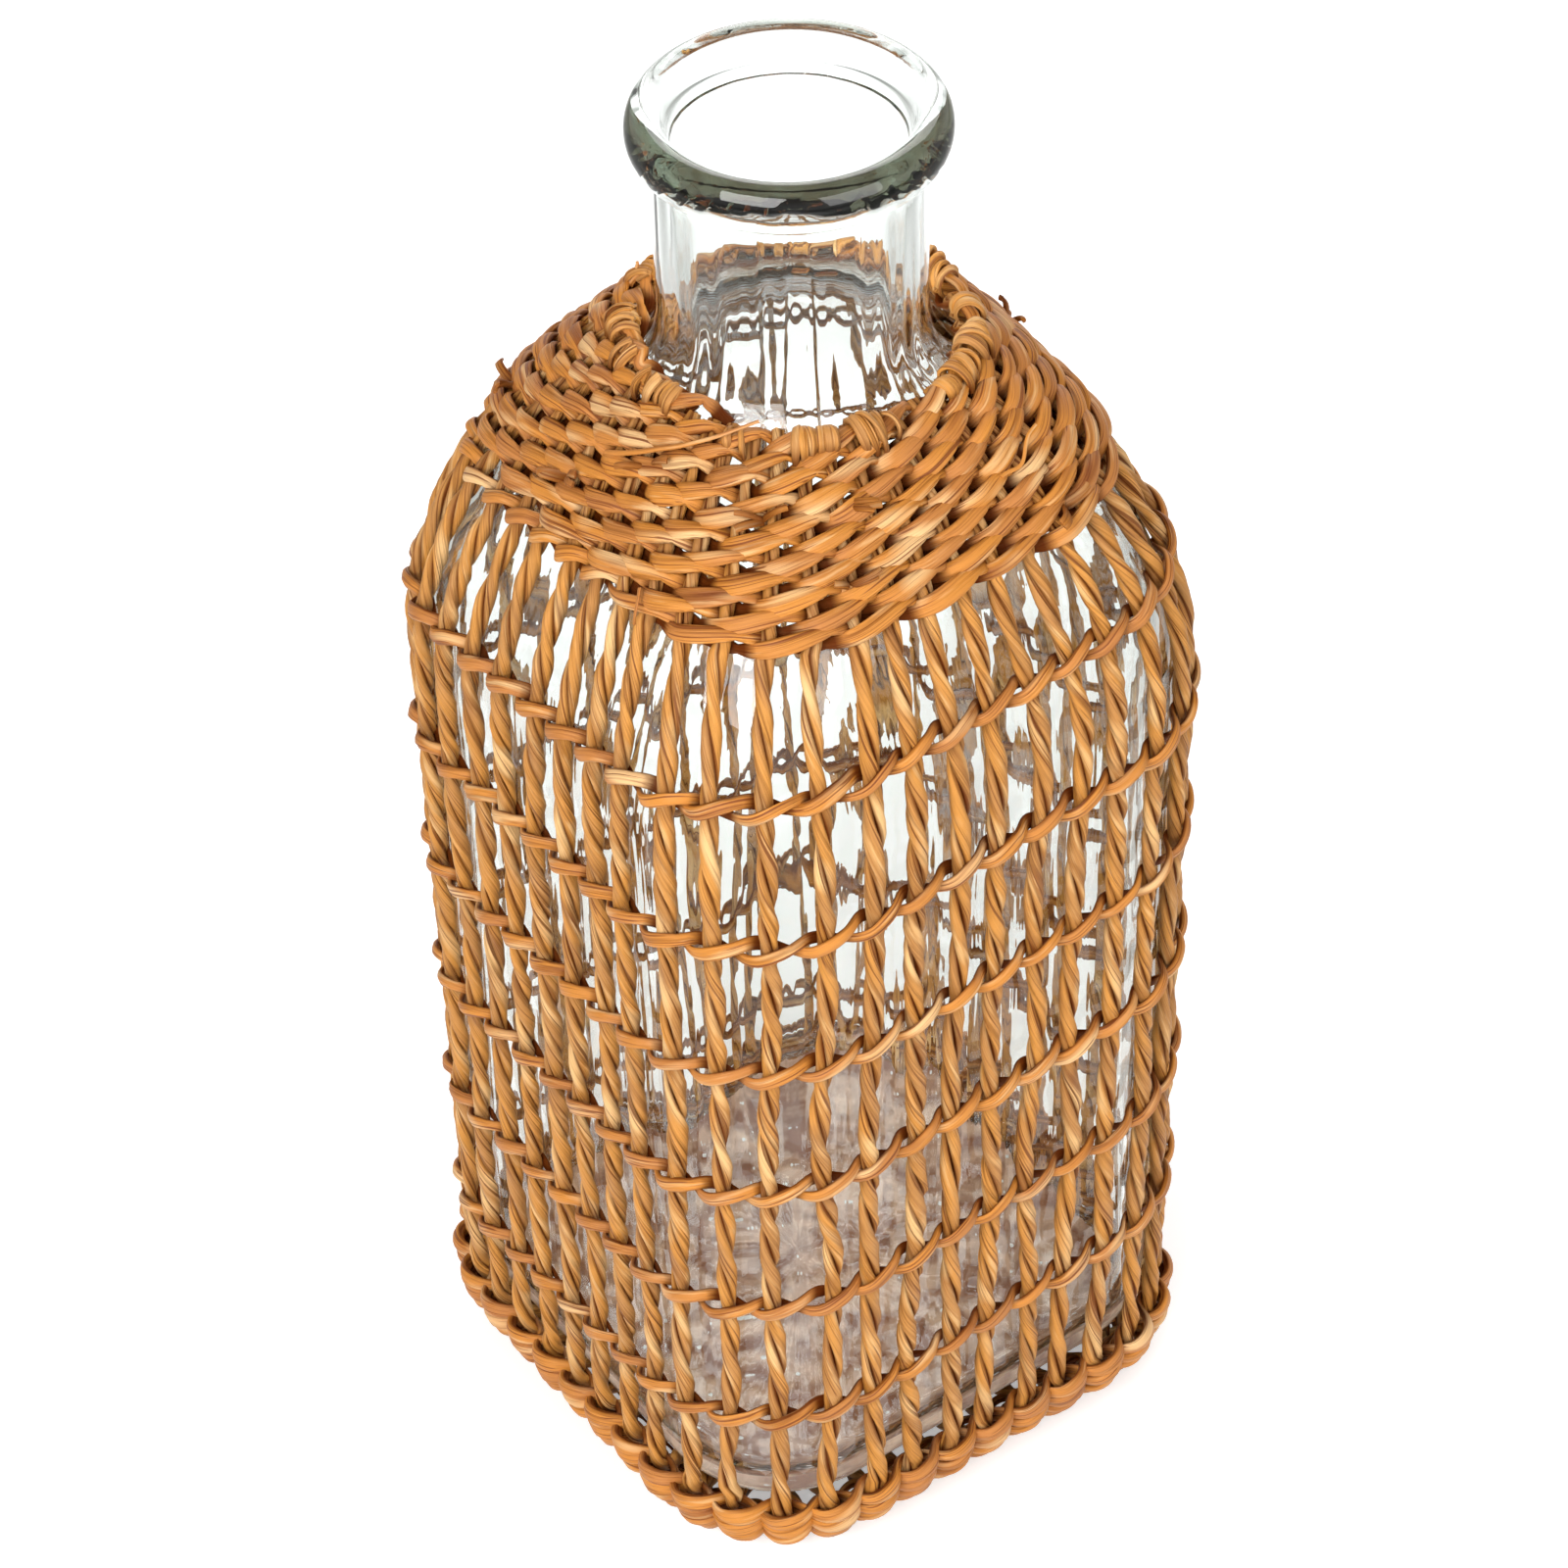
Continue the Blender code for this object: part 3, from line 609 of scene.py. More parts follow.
def upright(share, lane_axis, layer, rng):
    """One side of a stake, from its top end to the flat of the base: centres, across, outward and squeeze."""
    share = share % 1
    foot_height = layer + STAKE_BEND_HEIGHT
    length = np.arange(STAKE_TOP_LENGTH, length_at(foot_height), -CORD_STEP)
    squeeze = np.zeros_like(length)
    for crossing in crossings(share):
        squeeze = np.maximum(squeeze, np.exp(-((length - crossing) / CROSSING_REACH) ** 2))
    collared = ease((length - collar_edge(share) + COLLAR_RISE) / COLLAR_RISE)
    lift = STAKE_LIFT + (CROSSED_LIFT - STAKE_LIFT) * squeeze * (1 - collared)
    lift = lift + (COLLARED_LIFT - STAKE_LIFT) * collared
    sway = drift(rng, length, STAKE_SWAY_LENGTH, STAKE_SWAY) * (1 - collared) / (4 * QUARTER_GIRTH)
    centres, around, up, out = lay_on_glass(share + sway, length, lift)
    across = around * math.copysign(1, around[-1] @ lane_axis)
    narrow = ease((length - SHOULDER_START_LENGTH) / (STAKE_TOP_LENGTH - SHOULDER_START_LENGTH))

    outline, outward = (rows[0] for rows in wall_outline(np.array([share])))
    wall = np.append(outline + outward * (STAKE_LIFT - FOOT_DRAW_IN), 0)
    outward = np.append(outward, 0)
    run = np.array([lane_axis[1], lane_axis[0], 0])
    run = run * math.copysign(1, wall @ run)
    turn = np.linspace(math.pi / 2, 0, BEND_STEPS)[1:, None]
    rise = np.sin(turn)
    sideways = LANE_SHARE + (1 - LANE_SHARE) * rise**2
    bend = run * (FLAT_REACH + (wall @ run - FLAT_REACH) * rise) + lane_axis * (wall @ lane_axis) * sideways
    bend[:, 2] = layer + STAKE_BEND_HEIGHT * (1 - np.cos(turn[:, 0]))
    bend_out = unit(outward * rise + np.array([0, 0, -1]) * np.cos(turn))
    bend_across = unit(lane_axis * (1 - rise**2) + across[-1] * rise**2)
    none = np.zeros(len(bend))
    return {
        "centres": np.concatenate([centres, bend]),
        "across": np.concatenate([across, bend_across]),
        "out": np.concatenate([out, bend_out]),
        "squeeze": np.concatenate([squeeze * (1 - collared), none]),
        "collared": np.concatenate([collared, none]),
        "narrow": np.concatenate([narrow, none]),
    }


def whole_stake(first_share, second_share, lane_axis, layer, rng):
    """Both sides of a stake and the flat run under the bottle between them."""
    first = upright(first_share, lane_axis, layer, rng)
    second = upright(second_share, lane_axis, layer, rng)
    start, stop = first["centres"][-1], second["centres"][-1]
    count = int(np.linalg.norm(stop - start) / CORD_STEP)
    under = np.linspace(start, stop, count)[1:-1]
    none = np.zeros(len(under))
    flat = {
        "centres": under,
        "across": np.tile(lane_axis, (len(under), 1)),
        "out": np.tile([0.0, 0, -1], (len(under), 1)),
        "squeeze": none,
        "collared": none,
        "narrow": none,
    }
    return {key: np.concatenate([first[key], flat[key], second[key][::-1]]) for key in first}


def twist_cord(stake, rng):
    """The two plies of a stake, wound round each other. The weft and the collar press them together."""
    middle, flat_way, outward = stake["centres"], stake["across"], stake["out"]
    squeeze, collared = stake["squeeze"], stake["collared"]
    run = run_of(middle)
    lay = LAY_LENGTH * rng.uniform(*LAY_LENGTH_SHARES)
    handed = math.copysign(1, np.cross(flat_way[0], outward[0]) @ (middle[1] - middle[0]))
    wander = drift(rng, run, LAY_DRIFT_LENGTH, LAY_DRIFT)
    phase = -handed * 2 * math.pi * run / lay + wander + rng.uniform(0, 2 * math.pi)
    narrow = (1 - (1 - TOP_WIDTH_SHARE) * stake["narrow"]) * rng.uniform(*CORD_SIZE_SHARES)
    apart = PLY_APART * narrow * (1 - SQUEEZED_APART_SHARE * squeeze)
    deep = PLY_DEEP * (1 - SQUEEZED_DEEP_SHARE * squeeze - COLLARED_DEEP_SHARE * collared)
    thickness = PLY_THICKNESS * (1 - SQUEEZED_PLY_SHARE * squeeze - COLLARED_PLY_SHARE * collared)
    # Painted shade where the weft squeezes the cord and where the collar covers it, and on the side of each
    # ply that faces the other.
    shade = SQUEEZED_SHADE * squeeze + COLLARED_SHADE * collared
    plies = []
    for side in (0, math.pi):
        cosine, sine = np.cos(phase + side)[:, None], np.sin(phase + side)[:, None]
        centres = middle + flat_way * cosine * apart[:, None] + outward * sine * deep[:, None]
        across = outward * cosine - flat_way * sine
        inward = -(flat_way * cosine + outward * sine)
        plies.append(lay_strand(centres, across, PLY_WIDTH * narrow, thickness, rng, inward, shade))
    return plies


def last_course(share):
    """Length up the glass of the collar's last course over an upright."""
    ends = WALL_TURNS + COLLAR_TURNS
    turns = ends - (SPIRAL_START_SHARE + ends - share) % 1
    return float(weft_length(np.asarray(turns)))


def folded_end(share, rng):
    """The end of an upright, which comes up inside the collar's edge, folds over the last course and is
    tucked in outside. It splits into two or three leaves, which fan out."""
    progress = np.linspace(0, 1, FOLD_POINTS)
    marks = np.linspace(0, 1, len(FOLD_RISES))
    size = rng.uniform(0.75, 1.3)
    rise = np.interp(progress, marks, FOLD_RISES) * size
    lift = np.interp(progress, marks, FOLD_LIFTS) * rng.uniform(0.95, 1.08)
    softened = np.ones(3) / 3
    rise[1:-1] = np.convolve(rise, softened, "valid")
    lift[1:-1] = np.convolve(lift, softened, "valid")
    slant = rng.uniform(-0.4, 1) * FOLD_SLANT
    leaves = []
    for side in np.linspace(-1, 1, rng.integers(2, 4)):
        sideways = slant * progress + side * FOLD_SPREAD * (0.3 + 0.9 * ease(progress * 1.3))
        places = last_course(share) + rise * rng.uniform(0.75, 1.15)
        leaf_lift = lift * rng.uniform(0.93, 1.07)
        centres, around, up, out = lay_on_glass(share + sideways / EDGE_GIRTH, places, leaf_lift)
        tilt = side * FOLD_TILT + drift(rng, progress, FOLD_DRIFT_SHARE, FOLD_DRIFT)
        across = around * np.cos(tilt)[:, None] - out * np.sin(tilt)[:, None]
        width = FOLD_WIDTH * (1 - 0.35 * ease((progress - 0.75) / 0.25))
        # Painted shade at both ends of the leaf, where it comes up out of the collar and where it is tucked
        # in.
        shade = np.maximum(ease((progress - 0.7) / 0.3), ease((0.25 - progress) / 0.25)) * FOLD_SHADE
        leaves.append(lay_strand(centres, across, width, FOLD_THICKNESS, rng, None, shade))
    return leaves


stake_rush = dry_rush("twisted_rush", (0.160, 0.040, 0.004, 1), (0.610, 0.265, 0.052, 1),
                      (0.490, 0.225, 0.062, 1), (0.790, 0.480, 0.200, 1), 0.5)
side_reach = STAKES_PER_SIDE // 2
LAYERS = (
    ("stake_across", np.array([0.0, 1, 0]), LOWER_LAYER, 0, 1 / 2),
    ("stake_front_to_back", np.array([1.0, 0, 0]), UPPER_LAYER, 1 / 4, 3 / 4),
)
for layer_name, lane_axis, layer, first_middle, second_middle in LAYERS:
    for number in range(STAKES_PER_SIDE):
        rng = np.random.default_rng([7, number, len(layer_name)])
        offset = (number - side_reach) * STAKE_STEP
        first_share = first_middle + (offset if first_middle == 0 else -offset)
        second_share = second_middle + (-offset if first_middle == 0 else offset)
        stake = whole_stake(first_share, second_share, lane_axis, layer, rng)
        node = f"{layer_name}_{number + 1:02d}"
        strands = twist_cord(stake, rng)
        for share in (first_share, second_share):
            if rng.random() < FOLDS_SEEN_SHARE:
                strands += folded_end(share, rng)
        cord = tie_together(f"twisted_{node}", strands, stake_rush)
        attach(cord, "root")
        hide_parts(node)

# The border is the first thing twined: five close courses round the foot. In each, two strands of split rush
# take turns in front of a stake and behind it, and cross between one stake and the next.

BORDER_ROWS = 5
BORDER_ROW_STEP = 0.0029
BORDER_STRAND_HEIGHT = 0.0027
BORDER_STRAND_THICKNESS = 0.0017
BORDER_FRONT = STAKE_LIFT + BORDER_STRAND_THICKNESS / 2
BORDER_BACK = -0.0018
BORDER_SLIP = 0.00055
BORDER_STRAY = 0.0002
BORDER_STRAY_LENGTH = 0.02
BORDER_TILT = 0.4
BORDER_SHADE = 0.8
BEND_MEASURED_STEPS = 200
STEPS_PER_STAKE = 12
OVERLAP_PHASE = 0.28
# The weft's painted shade on its side towards the glass begins early, and its innermost part is painted
# lighter again, where light comes through the glass.
WEFT_LIGHT = {"hidden_from": 0.4, "lit_share": 0.7}


def flat_swing(phase, sharpness):
    """In front and behind, as 1 and -1, flatter over the stakes the sharper it is. Between two stakes, the
    strand that is going behind lies over the one that comes out."""
    return np.tanh(sharpness * np.cos(phase - OVERLAP_PHASE)) / math.tanh(sharpness)


def bend_of_stakes(number):
    """Where a border course lies on the bend of the stakes: how far out, how high, and which way is out."""
    turn = np.linspace(0, math.pi / 2, BEND_MEASURED_STEPS)
    wall = HALF_SIDE + STAKE_LIFT - FOOT_DRAW_IN
    out = FLAT_REACH + (wall - FLAT_REACH) * np.sin(turn)
    height = LOWER_LAYER + STAKE_BEND_HEIGHT * (1 - np.cos(turn))
    normal = unit(np.stack([np.sin(turn), -np.cos(turn)], -1))
    front = np.stack([out, height], -1) + normal * BORDER_FRONT
    target = (number + 0.5) * BORDER_ROW_STEP
    best = np.argmin(np.abs(front[:, 1] - target))
    return out[best] - HALF_SIDE, height[best], normal[best]


def border_strand(number, first, rng):
    """One strand of a border course. Both its ends are tucked behind the same stake."""
    start = SPIRAL_START_SHARE * STAKE_COUNT + 0.5 + number % 2 + first
    passed = start + np.linspace(0, STAKE_COUNT, STAKE_COUNT * STEPS_PER_STAKE + 1)
    phase = math.pi * (passed - start - 1)
    outline, outward = wall_outline(passed / STAKE_COUNT % 1)
    offset, height, normal = bend_of_stakes(number)
    swing = flat_swing(phase, 1.0)
    lift = BORDER_BACK + (BORDER_FRONT - BORDER_BACK) * (swing + 1) / 2
    run = passed * 4 * QUARTER_GIRTH / STAKE_COUNT
    plan = outline + outward * (offset + lift * normal[0])[:, None]
    out = np.concatenate([outward * normal[0], np.full((len(passed), 1), normal[1])], -1)
    up = np.concatenate([outward * -normal[1], np.full((len(passed), 1), normal[0])], -1)
    slip = BORDER_SLIP * np.sin(phase) + drift(rng, run, BORDER_STRAY_LENGTH, BORDER_STRAY)
    centres = np.concatenate([plan, (height + lift * normal[1])[:, None]], -1) + up * slip[:, None]
    centres[:, 2] = np.maximum(centres[:, 2], BORDER_STRAND_HEIGHT / 2)
    tilt = BORDER_TILT * np.sin(phase)
    across = up * np.cos(tilt)[:, None] - out * np.sin(tilt)[:, None]
    width = BORDER_STRAND_HEIGHT * (0.86 + 0.14 * swing)
    thickness = BORDER_STRAND_THICKNESS * (0.8 + 0.2 * swing)
    # Painted shade where the strand lies behind the stakes, and on its side towards the glass.
    shade = ease((-0.1 - swing) / 0.9) * BORDER_SHADE
    return lay_strand(centres, across, width, thickness, rng, -out, shade, **WEFT_LIGHT)


weft_rush = dry_rush("golden_rush", (0.180, 0.040, 0.004, 1), (0.610, 0.235, 0.036, 1),
                     (0.510, 0.195, 0.044, 1), (0.800, 0.490, 0.220, 1), 0.48)
for number in range(BORDER_ROWS):
    rng = np.random.default_rng([11, number])
    strands = [border_strand(number, first, rng) for first in (0, 1)]
    course = tie_together(f"twined_border_row_{number + 1}", strands, weft_rush)
    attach(course, "root")
    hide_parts(f"border_row_{number + 1}")

# The open weft is one pair of strands that leaves the border near a corner and climbs the sides as a spiral.
# The pair is spliced once a turn, behind a stake, so each turn is a piece.

WALL_FRONT_LIFT = 0.0037
WALL_BACK_LIFT = 0.0006
WALL_STRAND_HEIGHT = 0.0023
WALL_STRAND_THICKNESS = 0.0013
WALL_SLIP = 0.0012
WALL_STRAY = 0.0004
WALL_LUMPS = 0.0001
STRAY_LENGTH = 0.03
LUMP_LENGTH = 0.012
ROLL_LENGTH = 0.02
CLIMBING_SHADE = 0.95
BACK_PAIR = 8
spiral_start = SPIRAL_START_SHARE * STAKE_COUNT
collar_begins = round(spiral_start + WALL_TURNS * STAKE_COUNT - 0.5) + 0.5


def crossing_places():
    """Where the climbing pair cross, in stakes passed: after each stake up the walls and after every second
    one in the collar. There, once a turn at the back, they cross after one, so its courses lie staggered."""
    places = list(np.arange(spiral_start, collar_begins + 1))
    step = 2
    while places[-1] < collar_begins + (COLLAR_TURNS + 1) * STAKE_COUNT:
        at_back = (places[-1] - 0.5) % STAKE_COUNT // 2 == BACK_PAIR
        step = 1 if at_back and step == 2 else 2
        places.append(places[-1] + step)
    return np.array(places)


CROSSING_PLACES = crossing_places()
CROSSING_NUMBERS = np.arange(len(CROSSING_PLACES))


def splice_after(passed, first):
    """The next place at which a strand of the pair lies behind the stakes, where a new one is laid in."""
    number = np.interp(passed, CROSSING_PLACES, CROSSING_NUMBERS)
    number += (1.5 - first - number) % 2
    return np.interp(number, CROSSING_NUMBERS, CROSSING_PLACES)


def climbing_strand(start, stop, first, look, rng):
    """A strand of the climbing pair from its splice after one count of stakes passed to its next splice. Its
    look gives its sizes, how far it turns and rolls in radians, the share of its width left where it is
    pointed, how full it is between, how soon its painted shade begins as it dives behind the stakes and how
    early in its leap it is widest."""
    start, stop = splice_after(start, first), splice_after(stop, first)
    passed = np.linspace(start, stop, round((stop - start) * look["steps"]) + 1)
    phase = math.pi * (np.interp(passed, CROSSING_PLACES, CROSSING_NUMBERS) + first - 0.5)
    length = weft_length(passed / STAKE_COUNT - SPIRAL_START_SHARE)
    share = passed / STAKE_COUNT % 1
    run = run_of(skin(share, height_at(length)))
    length = length + look["slip"] * np.sin(phase) + drift(rng, run, STRAY_LENGTH, look["stray"])
    swing = flat_swing(phase, look["sharpness"])
    lift = look["back"] + (look["front"] - look["back"]) * (swing + 1) / 2
    lift = lift + drift(rng, run, LUMP_LENGTH, look["lumps"])
    centres, around, up, out = lay_on_glass(share, length, lift)
    tilt = look["turning"] * np.sin(phase) + drift(rng, run, ROLL_LENGTH, look["rolled"])
    across = up * np.cos(tilt)[:, None] - out * np.sin(tilt)[:, None]
    fullness = np.abs(np.cos(phase + look["early"])) ** look["full"]
    width = look["height"] * (look["pointed"] + (1 - look["pointed"]) * fullness)
    thickness = look["thickness"] * (0.82 + 0.18 * swing)
    # Painted shade where the strand dives behind the stakes, and on its side towards the glass.
    shade = ease(look["shaded"] - swing) * CLIMBING_SHADE
    return lay_strand(centres, across, width, thickness, rng, -out, shade, **WEFT_LIGHT)


WALL_LOOK = {
    "height": WALL_STRAND_HEIGHT, "thickness": WALL_STRAND_THICKNESS, "front": WALL_FRONT_LIFT,
    "back": WALL_BACK_LIFT, "slip": WALL_SLIP, "stray": WALL_STRAY, "lumps": WALL_LUMPS,
    "steps": STEPS_PER_STAKE, "sharpness": 1.0, "turning": 0.3, "rolled": 0.2, "pointed": 0.8, "full": 0.6,
    "shaded": 0.2, "early": 0.2,
}
for number in range(math.ceil(WALL_TURNS)):
    rng = np.random.default_rng([13, number])
    start = spiral_start + number * STAKE_COUNT
    stop = min(start + STAKE_COUNT, collar_begins)
    strands = [climbing_strand(start, stop, first, WALL_LOOK, rng) for first in (0, 1)]
    pair = tie_together(f"twined_wall_turn_{number + 1}", strands, weft_rush)
    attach(pair, "root")
    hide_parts(f"wall_weft_turn_{number + 1}")

# The collar closes the same weft up on the shoulder. Its strands are whole flat leaves that lie over two
# stakes at a time, course against course, and the last course holds the folded ends of the stakes.

COLLAR_FRONT_LIFT = 0.00415
COLLAR_BACK_LIFT = 0.00065
COLLAR_STRAND_HEIGHT = 0.0030
COLLAR_STRAND_THICKNESS = 0.0014
COLLAR_SLIP = 0.0010
COLLAR_STRAY = 0.0005
COLLAR_LUMPS = 0.0003
COLLAR_LOOK = {
    "height": COLLAR_STRAND_HEIGHT, "thickness": COLLAR_STRAND_THICKNESS, "front": COLLAR_FRONT_LIFT,
    "back": COLLAR_BACK_LIFT, "slip": COLLAR_SLIP, "stray": COLLAR_STRAY, "lumps": COLLAR_LUMPS,
    "steps": 10, "sharpness": 1.4, "turning": 0.25, "rolled": 0.3, "pointed": 0.45, "full": 0.6,
    "shaded": 0.5, "early": 0.3,
}
CUT_POINTS = 9
CUT_LENGTH = 0.0042
CUT_WIDTH = 0.0013
CUT_THICKNESS = 0.0007
CUT_BURIED_LIFT = 0.0030
CUT_RAISED_LIFT = 0.0061
STRAY_POINTS = 40
STRAY_WIDTH = 0.0008
STRAY_THICKNESS = 0.0004
STRAY_DRIFT_SHARE = 0.4

# A cut end's place is how many stakes lie before it and how far it lies below the collar's edge. A stray
# fibre has such a place and a lift off the glass at each of its two ends.
CUT_PLACES = (
    (32.0, 0.0204), (34.5, 0.0108), (38.7, 0.0132), (41.2, 0.0126), (40.9, 0.0234), (3.4, 0.0270),
    (10.5, 0.0210), (18.3, 0.0240), (27.4, 0.0220),
)
STRAY_PLACES = (
    ((33.1, 0.0120, 0.0055), (38.3, 0.0018, 0.0066)), ((35.9, 0.0262, 0.0050), (36.2, 0.0310, 0.0062)),
    ((25.3, 0.0030, 0.0040), (25.1, 0.0005, 0.0072)), ((13.4, 0.0040, 0.0040), (13.7, 0.0010, 0.0064)),
    ((2.0, 0.0180, 0.0050), (3.8, 0.0150, 0.0064)), ((20.5, 0.0100, 0.0050), (22.0, 0.0130, 0.0068)),
)


def cut_ends(passed, below_edge, rng):
    """A splice: three or four leaves cut square, which poke out of the weave where a new one was laid in."""
    share, length, lift = np.array([[passed / STAKE_COUNT], [EDGE_LENGTH - below_edge], [CUT_BURIED_LIFT]])
    middle, around, up, out = (rows[0] for rows in lay_on_glass(share, length, lift))
    ends = []
    for _ in range(rng.integers(3, 5)):
        progress = np.linspace(0, 1, CUT_POINTS)[:, None]
        heading = around * rng.choice([-1, 1]) + up * rng.uniform(-0.7, 0.5)
        run = heading * CUT_LENGTH * rng.uniform(0.7, 1.1)
        rise = out * (CUT_RAISED_LIFT - CUT_BURIED_LIFT) * rng.uniform(0.8, 1.1)
        start = middle + up * CUT_WIDTH * rng.uniform(-0.6, 0.6)
        centres = start + run * progress + rise * np.sin(progress * math.pi * 0.6)
        across = np.tile(up, (len(centres), 1))
        width = CUT_WIDTH * rng.uniform(0.7, 1.1)
        # Painted shade, strongest where the end comes out of the weave and less towards its tip.
        shade = 0.75 - 0.35 * progress[:, 0]
        ends.append(lay_strand(centres, across, width, CUT_THICKNESS, rng, None, shade))
    return ends


def stray_fibre(start, stop, rng):
    """A thin fibre split from a leaf, which lies loose on the weave between two places."""
    progress = np.linspace(0, 1, STRAY_POINTS)
    passed, below_edge, lift = (a + (b - a) * progress for a, b in zip(start, stop))
    below_edge = below_edge + drift(rng, progress, STRAY_DRIFT_SHARE, STRAY_WIDTH)
    centres, around, up, out = lay_on_glass(passed / STAKE_COUNT, EDGE_LENGTH - below_edge, lift)
    return lay_strand(centres, up, STRAY_WIDTH * (1 - 0.4 * progress), STRAY_THICKNESS, rng)


for number in range(COLLAR_TURNS):
    rng = np.random.default_rng([17, number])
    start = collar_begins + number * STAKE_COUNT
    strands = [climbing_strand(start, start + STAKE_COUNT, first, COLLAR_LOOK, rng) for first in (0, 1)]
    for passed, below_edge in CUT_PLACES:
        if int((EDGE_LENGTH - below_edge - COLLAR_START_LENGTH) / COLLAR_RISE) == number:
            strands += cut_ends(passed, below_edge, rng)
    if number == COLLAR_TURNS - 1:
        strands += [stray_fibre(start, stop, rng) for start, stop in STRAY_PLACES]
    pair = tie_together(f"twined_collar_turn_{number + 1:02d}", strands, weft_rush)
    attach(pair, "root")
    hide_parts(f"collar_weft_turn_{number + 1:02d}")

# The vase stands on white paper in a plain studio: three softboxes, pale light all round and a camera that
# looks down on one corner. The paper glows white, less so near the vase, where its shadow falls. Through the
# glass alone, a darker table is seen beside the paper and before it, which darkens the edges of the glass.

PAPER_WHITE = (0.9, 0.9, 0.9, 1)
TABLE_GREY = (0.37, 0.38, 0.35, 1)
BESIDE_SHARE = 0.8
FLOOR_SIZE = 6
FLOOR_DROP = 0.0002
PAPER_HALF_WIDTH = 0.09
TABLE_HALF_WIDTH = 0.32
PAPER_FRONT_EDGE = 0.10
TABLE_FRONT_EDGE = 0.20
TABLE_FAR_START = 0.50
TABLE_FAR_END = 0.70
NEAR_GLOW_SHARE = 0.40
GLOW_RISE_START = 0.30
GLOW_RISE_END = 0.80
WORLD_STRENGTH = 0.25
LOW_STUDIO = (0.85, 0.84, 0.82, 1)
HIGH_STUDIO = (0.52, 0.48, 0.43, 1)
LOW_STUDIO_SHARE = 0.20
HIGH_STUDIO_SHARE = 0.55
KEY_DISTANCE = 1.1
KEY_SIZE = 0.7
FILL_DISTANCE = 1.2
FILL_SIZE = 0.8
BACK_DISTANCE = 1.3
BACK_SIZE = 0.9
CAMERA_TURN = math.radians(54.74)
CAMERA_ELEVATION = math.radians(41.16)
CAMERA_ROLL = math.radians(-1.34)
CAMERA_DISTANCE = 0.8487
CAMERA_LENS = 122.48
CAMERA_TARGET = Vector((-0.00292, 0, 0.12021))
LIGHT_BOUNCES = 32


def make_floor():
    """The white paper, and the darker table that is seen through the glass beside the paper and before it."""
    mesh = bpy.data.meshes.new("studio_floor")
    half = FLOOR_SIZE / 2
    corners = [(x * half, y * half, -FLOOR_DROP) for x, y in ((-1, -1), (1, -1), (1, 1), (-1, 1))]
    mesh.from_pydata(corners, [], [(0, 1, 2, 3)])
    material, tree, shader = new_material("white_floor")
    place = add_node(tree, "TexCoord", {}).outputs["Object"]
    path = add_node(tree, "LightPath", {}).outputs

    def combine(first, second, operation="ADD"):
        node = add_node(tree, "Math", {0: first, 1: second}, operation=operation, use_clamp=True)
        return node.outputs["Value"]

    def way_along(direction):
        way = add_node(tree, "VectorMath", {0: place, 1: direction}, operation="DOT_PRODUCT")
        return way.outputs["Value"]

    sideways = way_along((math.cos(CAMERA_TURN), math.sin(CAMERA_TURN), 0))
    to_the_side = add_node(tree, "Math", {0: sideways}, operation="ABSOLUTE").outputs["Value"]
    beside = rescaled(tree, to_the_side, PAPER_HALF_WIDTH, TABLE_HALF_WIDTH)
    forward = way_along((math.sin(CAMERA_TURN), -math.cos(CAMERA_TURN), 0))
    before = rescaled(tree, forward, PAPER_FRONT_EDGE, TABLE_FRONT_EDGE)
    far_off = rescaled(tree, forward, TABLE_FAR_START, TABLE_FAR_END)
    in_front = combine(before, far_off, "SUBTRACT")
    off_paper = combine(combine(beside, BESIDE_SHARE, "MULTIPLY"), in_front, "MAXIMUM")
    through_glass = combine(path["Is Glossy Ray"], path["Is Transmission Ray"])
    dim = combine(through_glass, off_paper, "MULTIPLY")
    seen = combine(path["Is Camera Ray"], through_glass)
    from_vase = add_node(tree, "VectorMath", {0: place}, operation="LENGTH").outputs["Value"]
    glow = rescaled(tree, from_vase, GLOW_RISE_START, GLOW_RISE_END, NEAR_GLOW_SHARE)
    strength = combine(combine(seen, dim, "SUBTRACT"), glow, "MULTIPLY")
    set_inputs(shader, {
        "Base Color": mixed(tree, dim, PAPER_WHITE, TABLE_GREY), "Roughness": 0.9,
        "Specular IOR Level": 0, "Emission Color": WHITE, "Emission Strength": strength})
    floor = add_piece("studio_floor", mesh, material)


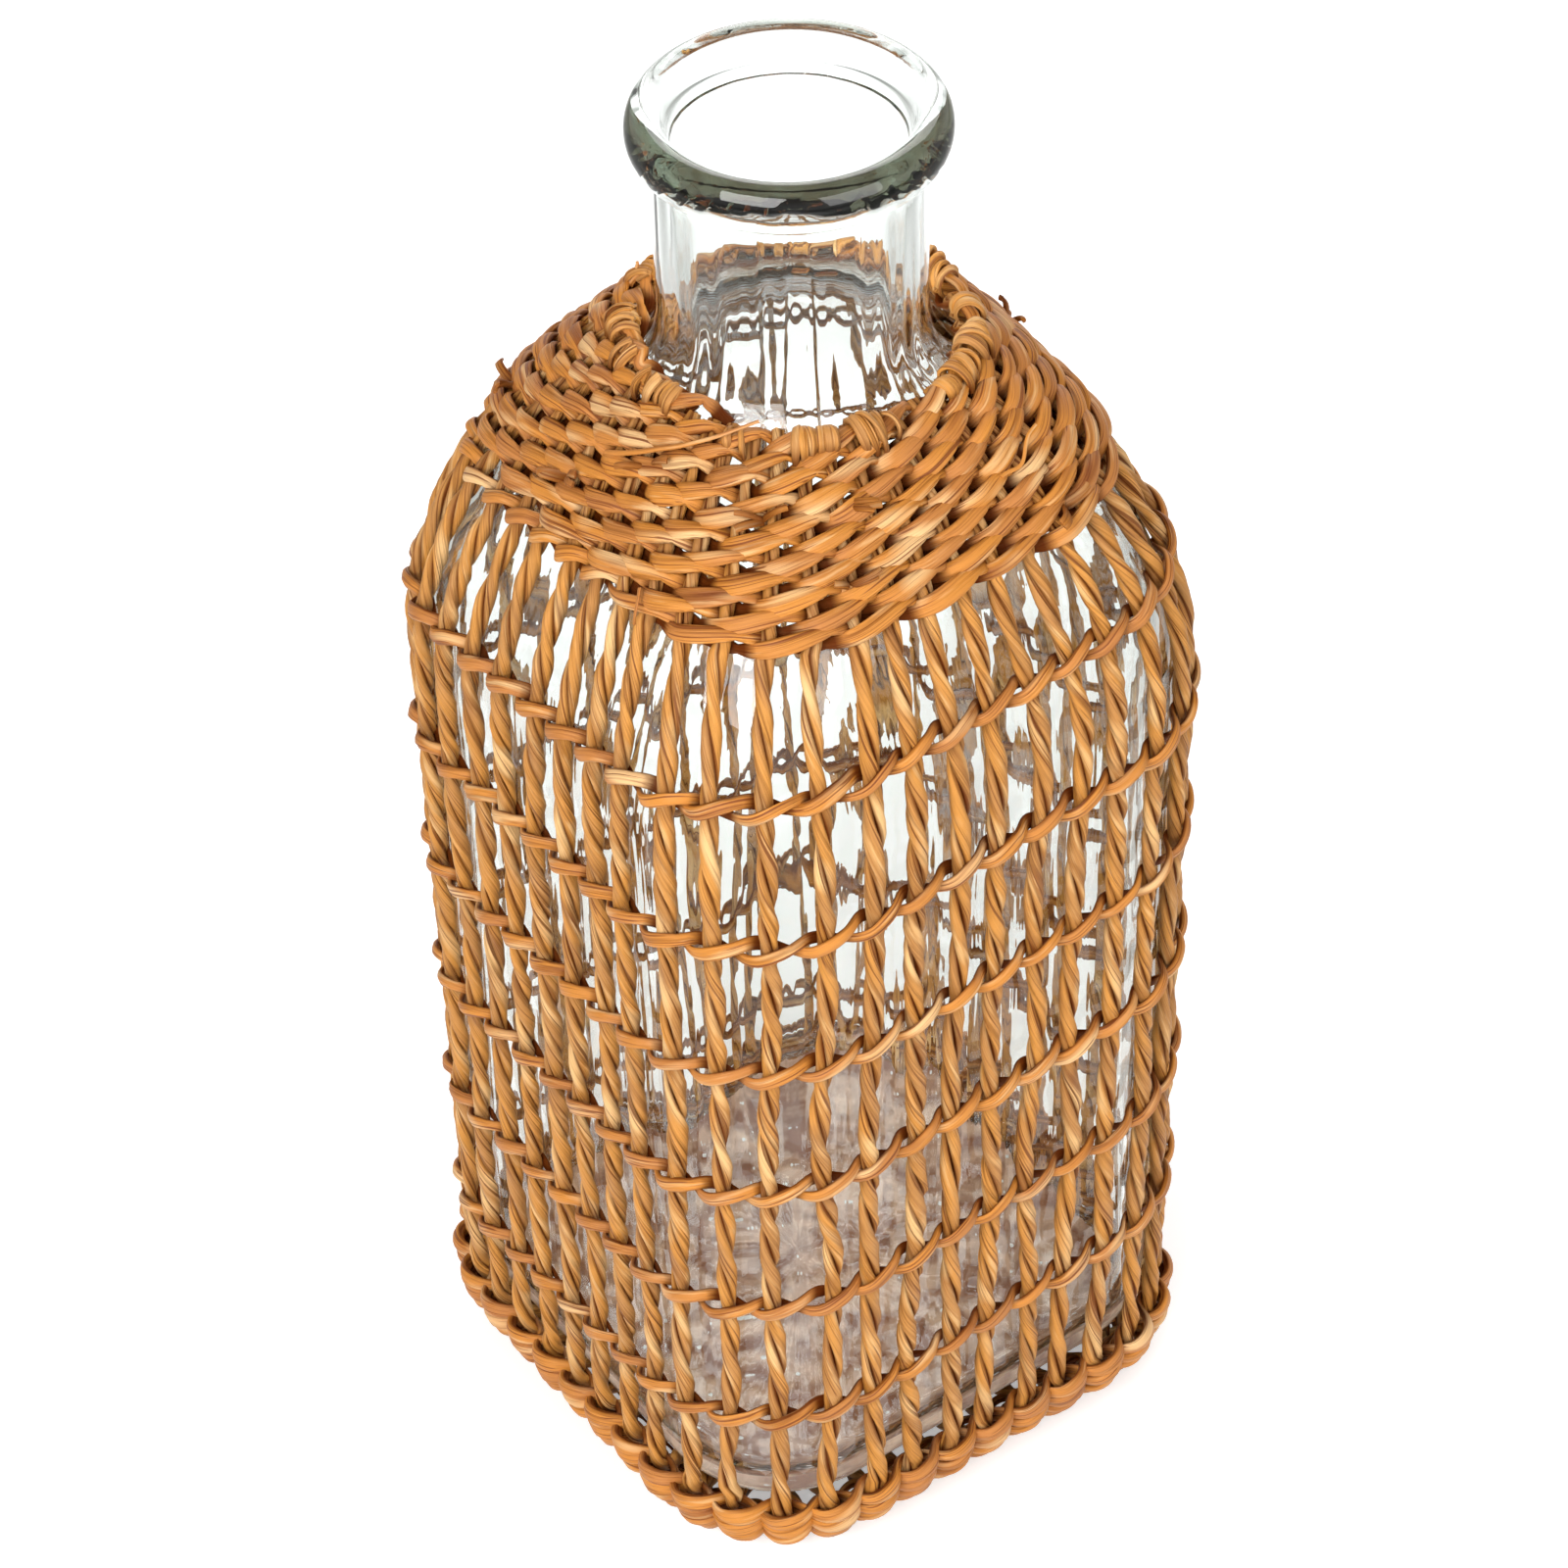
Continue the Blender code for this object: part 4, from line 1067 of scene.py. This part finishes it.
def make_world():
    """Plain light all round, a white background for the camera and a duller studio that the glass shows."""
    world = bpy.data.worlds.new("soft_studio")
    bpy.context.scene.world = world
    world.use_nodes = True
    tree = world.node_tree
    lamp = tree.nodes["Background"]
    set_inputs(lamp, {"Color": WHITE, "Strength": WORLD_STRENGTH})
    place = add_node(tree, "TexCoord", {}).outputs["Generated"]
    height = add_node(tree, "SeparateXYZ", {"Vector": place}).outputs["Z"]
    studio = add_node(tree, "ValToRGB", {"Fac": height})
    low, high = studio.color_ramp.elements
    low.position, low.color = LOW_STUDIO_SHARE, LOW_STUDIO
    high.position, high.color = HIGH_STUDIO_SHARE, HIGH_STUDIO
    in_glass = add_node(tree, "Background", {"Color": studio.outputs["Color"]})
    path = add_node(tree, "LightPath", {}).outputs
    either = add_node(tree, "Math", {
        0: path["Is Glossy Ray"], 1: path["Is Transmission Ray"]}, operation="MAXIMUM")
    through = add_node(tree, "MixShader", {
        "Fac": either.outputs["Value"], 1: lamp.outputs["Background"], 2: in_glass.outputs["Background"]})
    white = add_node(tree, "Background", {"Color": WHITE, "Strength": 1})
    direct = add_node(tree, "MixShader", {
        "Fac": path["Is Camera Ray"], 1: through.outputs["Shader"], 2: white.outputs["Background"]})
    set_inputs(tree.nodes["World Output"], {"Surface": direct.outputs["Shader"]})


def add_softbox(name, turn, elevation, distance, size, watts):
    """A square soft lamp that looks at the vase from a direction given in degrees from the camera's."""
    lamp = bpy.data.lights.new(name, "AREA")
    lamp.shape = "SQUARE"
    lamp.size = size
    lamp.energy = watts
    box = bpy.data.objects.new(name, lamp)
    bpy.context.scene.collection.objects.link(box)
    angle = CAMERA_TURN - math.pi / 2 + math.radians(turn)
    rise = math.radians(elevation)
    back = Vector((math.cos(angle) * math.cos(rise), math.sin(angle) * math.cos(rise), math.sin(rise)))
    middle = Vector((0, 0, GLASS_TOP / 2))
    box.location = middle + back * distance
    box.rotation_euler = back.to_track_quat("Z", "Y").to_euler()


def make_camera():
    """The camera looks down on the corner between two sides and is tipped a little to one side."""
    camera = bpy.data.objects.new("camera", bpy.data.cameras.new("camera"))
    bpy.context.scene.collection.objects.link(camera)
    camera.data.lens = CAMERA_LENS
    back = Vector((0, -math.cos(CAMERA_ELEVATION), math.sin(CAMERA_ELEVATION)))
    right = Vector((1, 0, 0))
    up = back.cross(right)
    rolled_right = right * math.cos(CAMERA_ROLL) + up * math.sin(CAMERA_ROLL)
    rolled_up = back.cross(rolled_right)
    turn = Matrix.Rotation(CAMERA_TURN, 3, "Z")
    facing = turn @ Matrix((rolled_right, rolled_up, back)).transposed()
    place = turn @ (CAMERA_TARGET + back * CAMERA_DISTANCE)
    camera.matrix_world = Matrix.Translation(place) @ facing.to_4x4()
    bpy.context.scene.camera = camera


make_floor()
make_world()
add_softbox("key_softbox", -28, 32, KEY_DISTANCE, KEY_SIZE, 12.5)
add_softbox("fill_softbox", 42, 26, FILL_DISTANCE, FILL_SIZE, 7)
add_softbox("back_softbox", 170, 30, BACK_DISTANCE, BACK_SIZE, 8)
make_camera()
bpy.context.scene.view_settings.view_transform = "Standard"
bpy.context.scene.cycles.max_bounces = LIGHT_BOUNCES
bpy.context.scene.cycles.glossy_bounces = LIGHT_BOUNCES
bpy.context.scene.cycles.transmission_bounces = LIGHT_BOUNCES
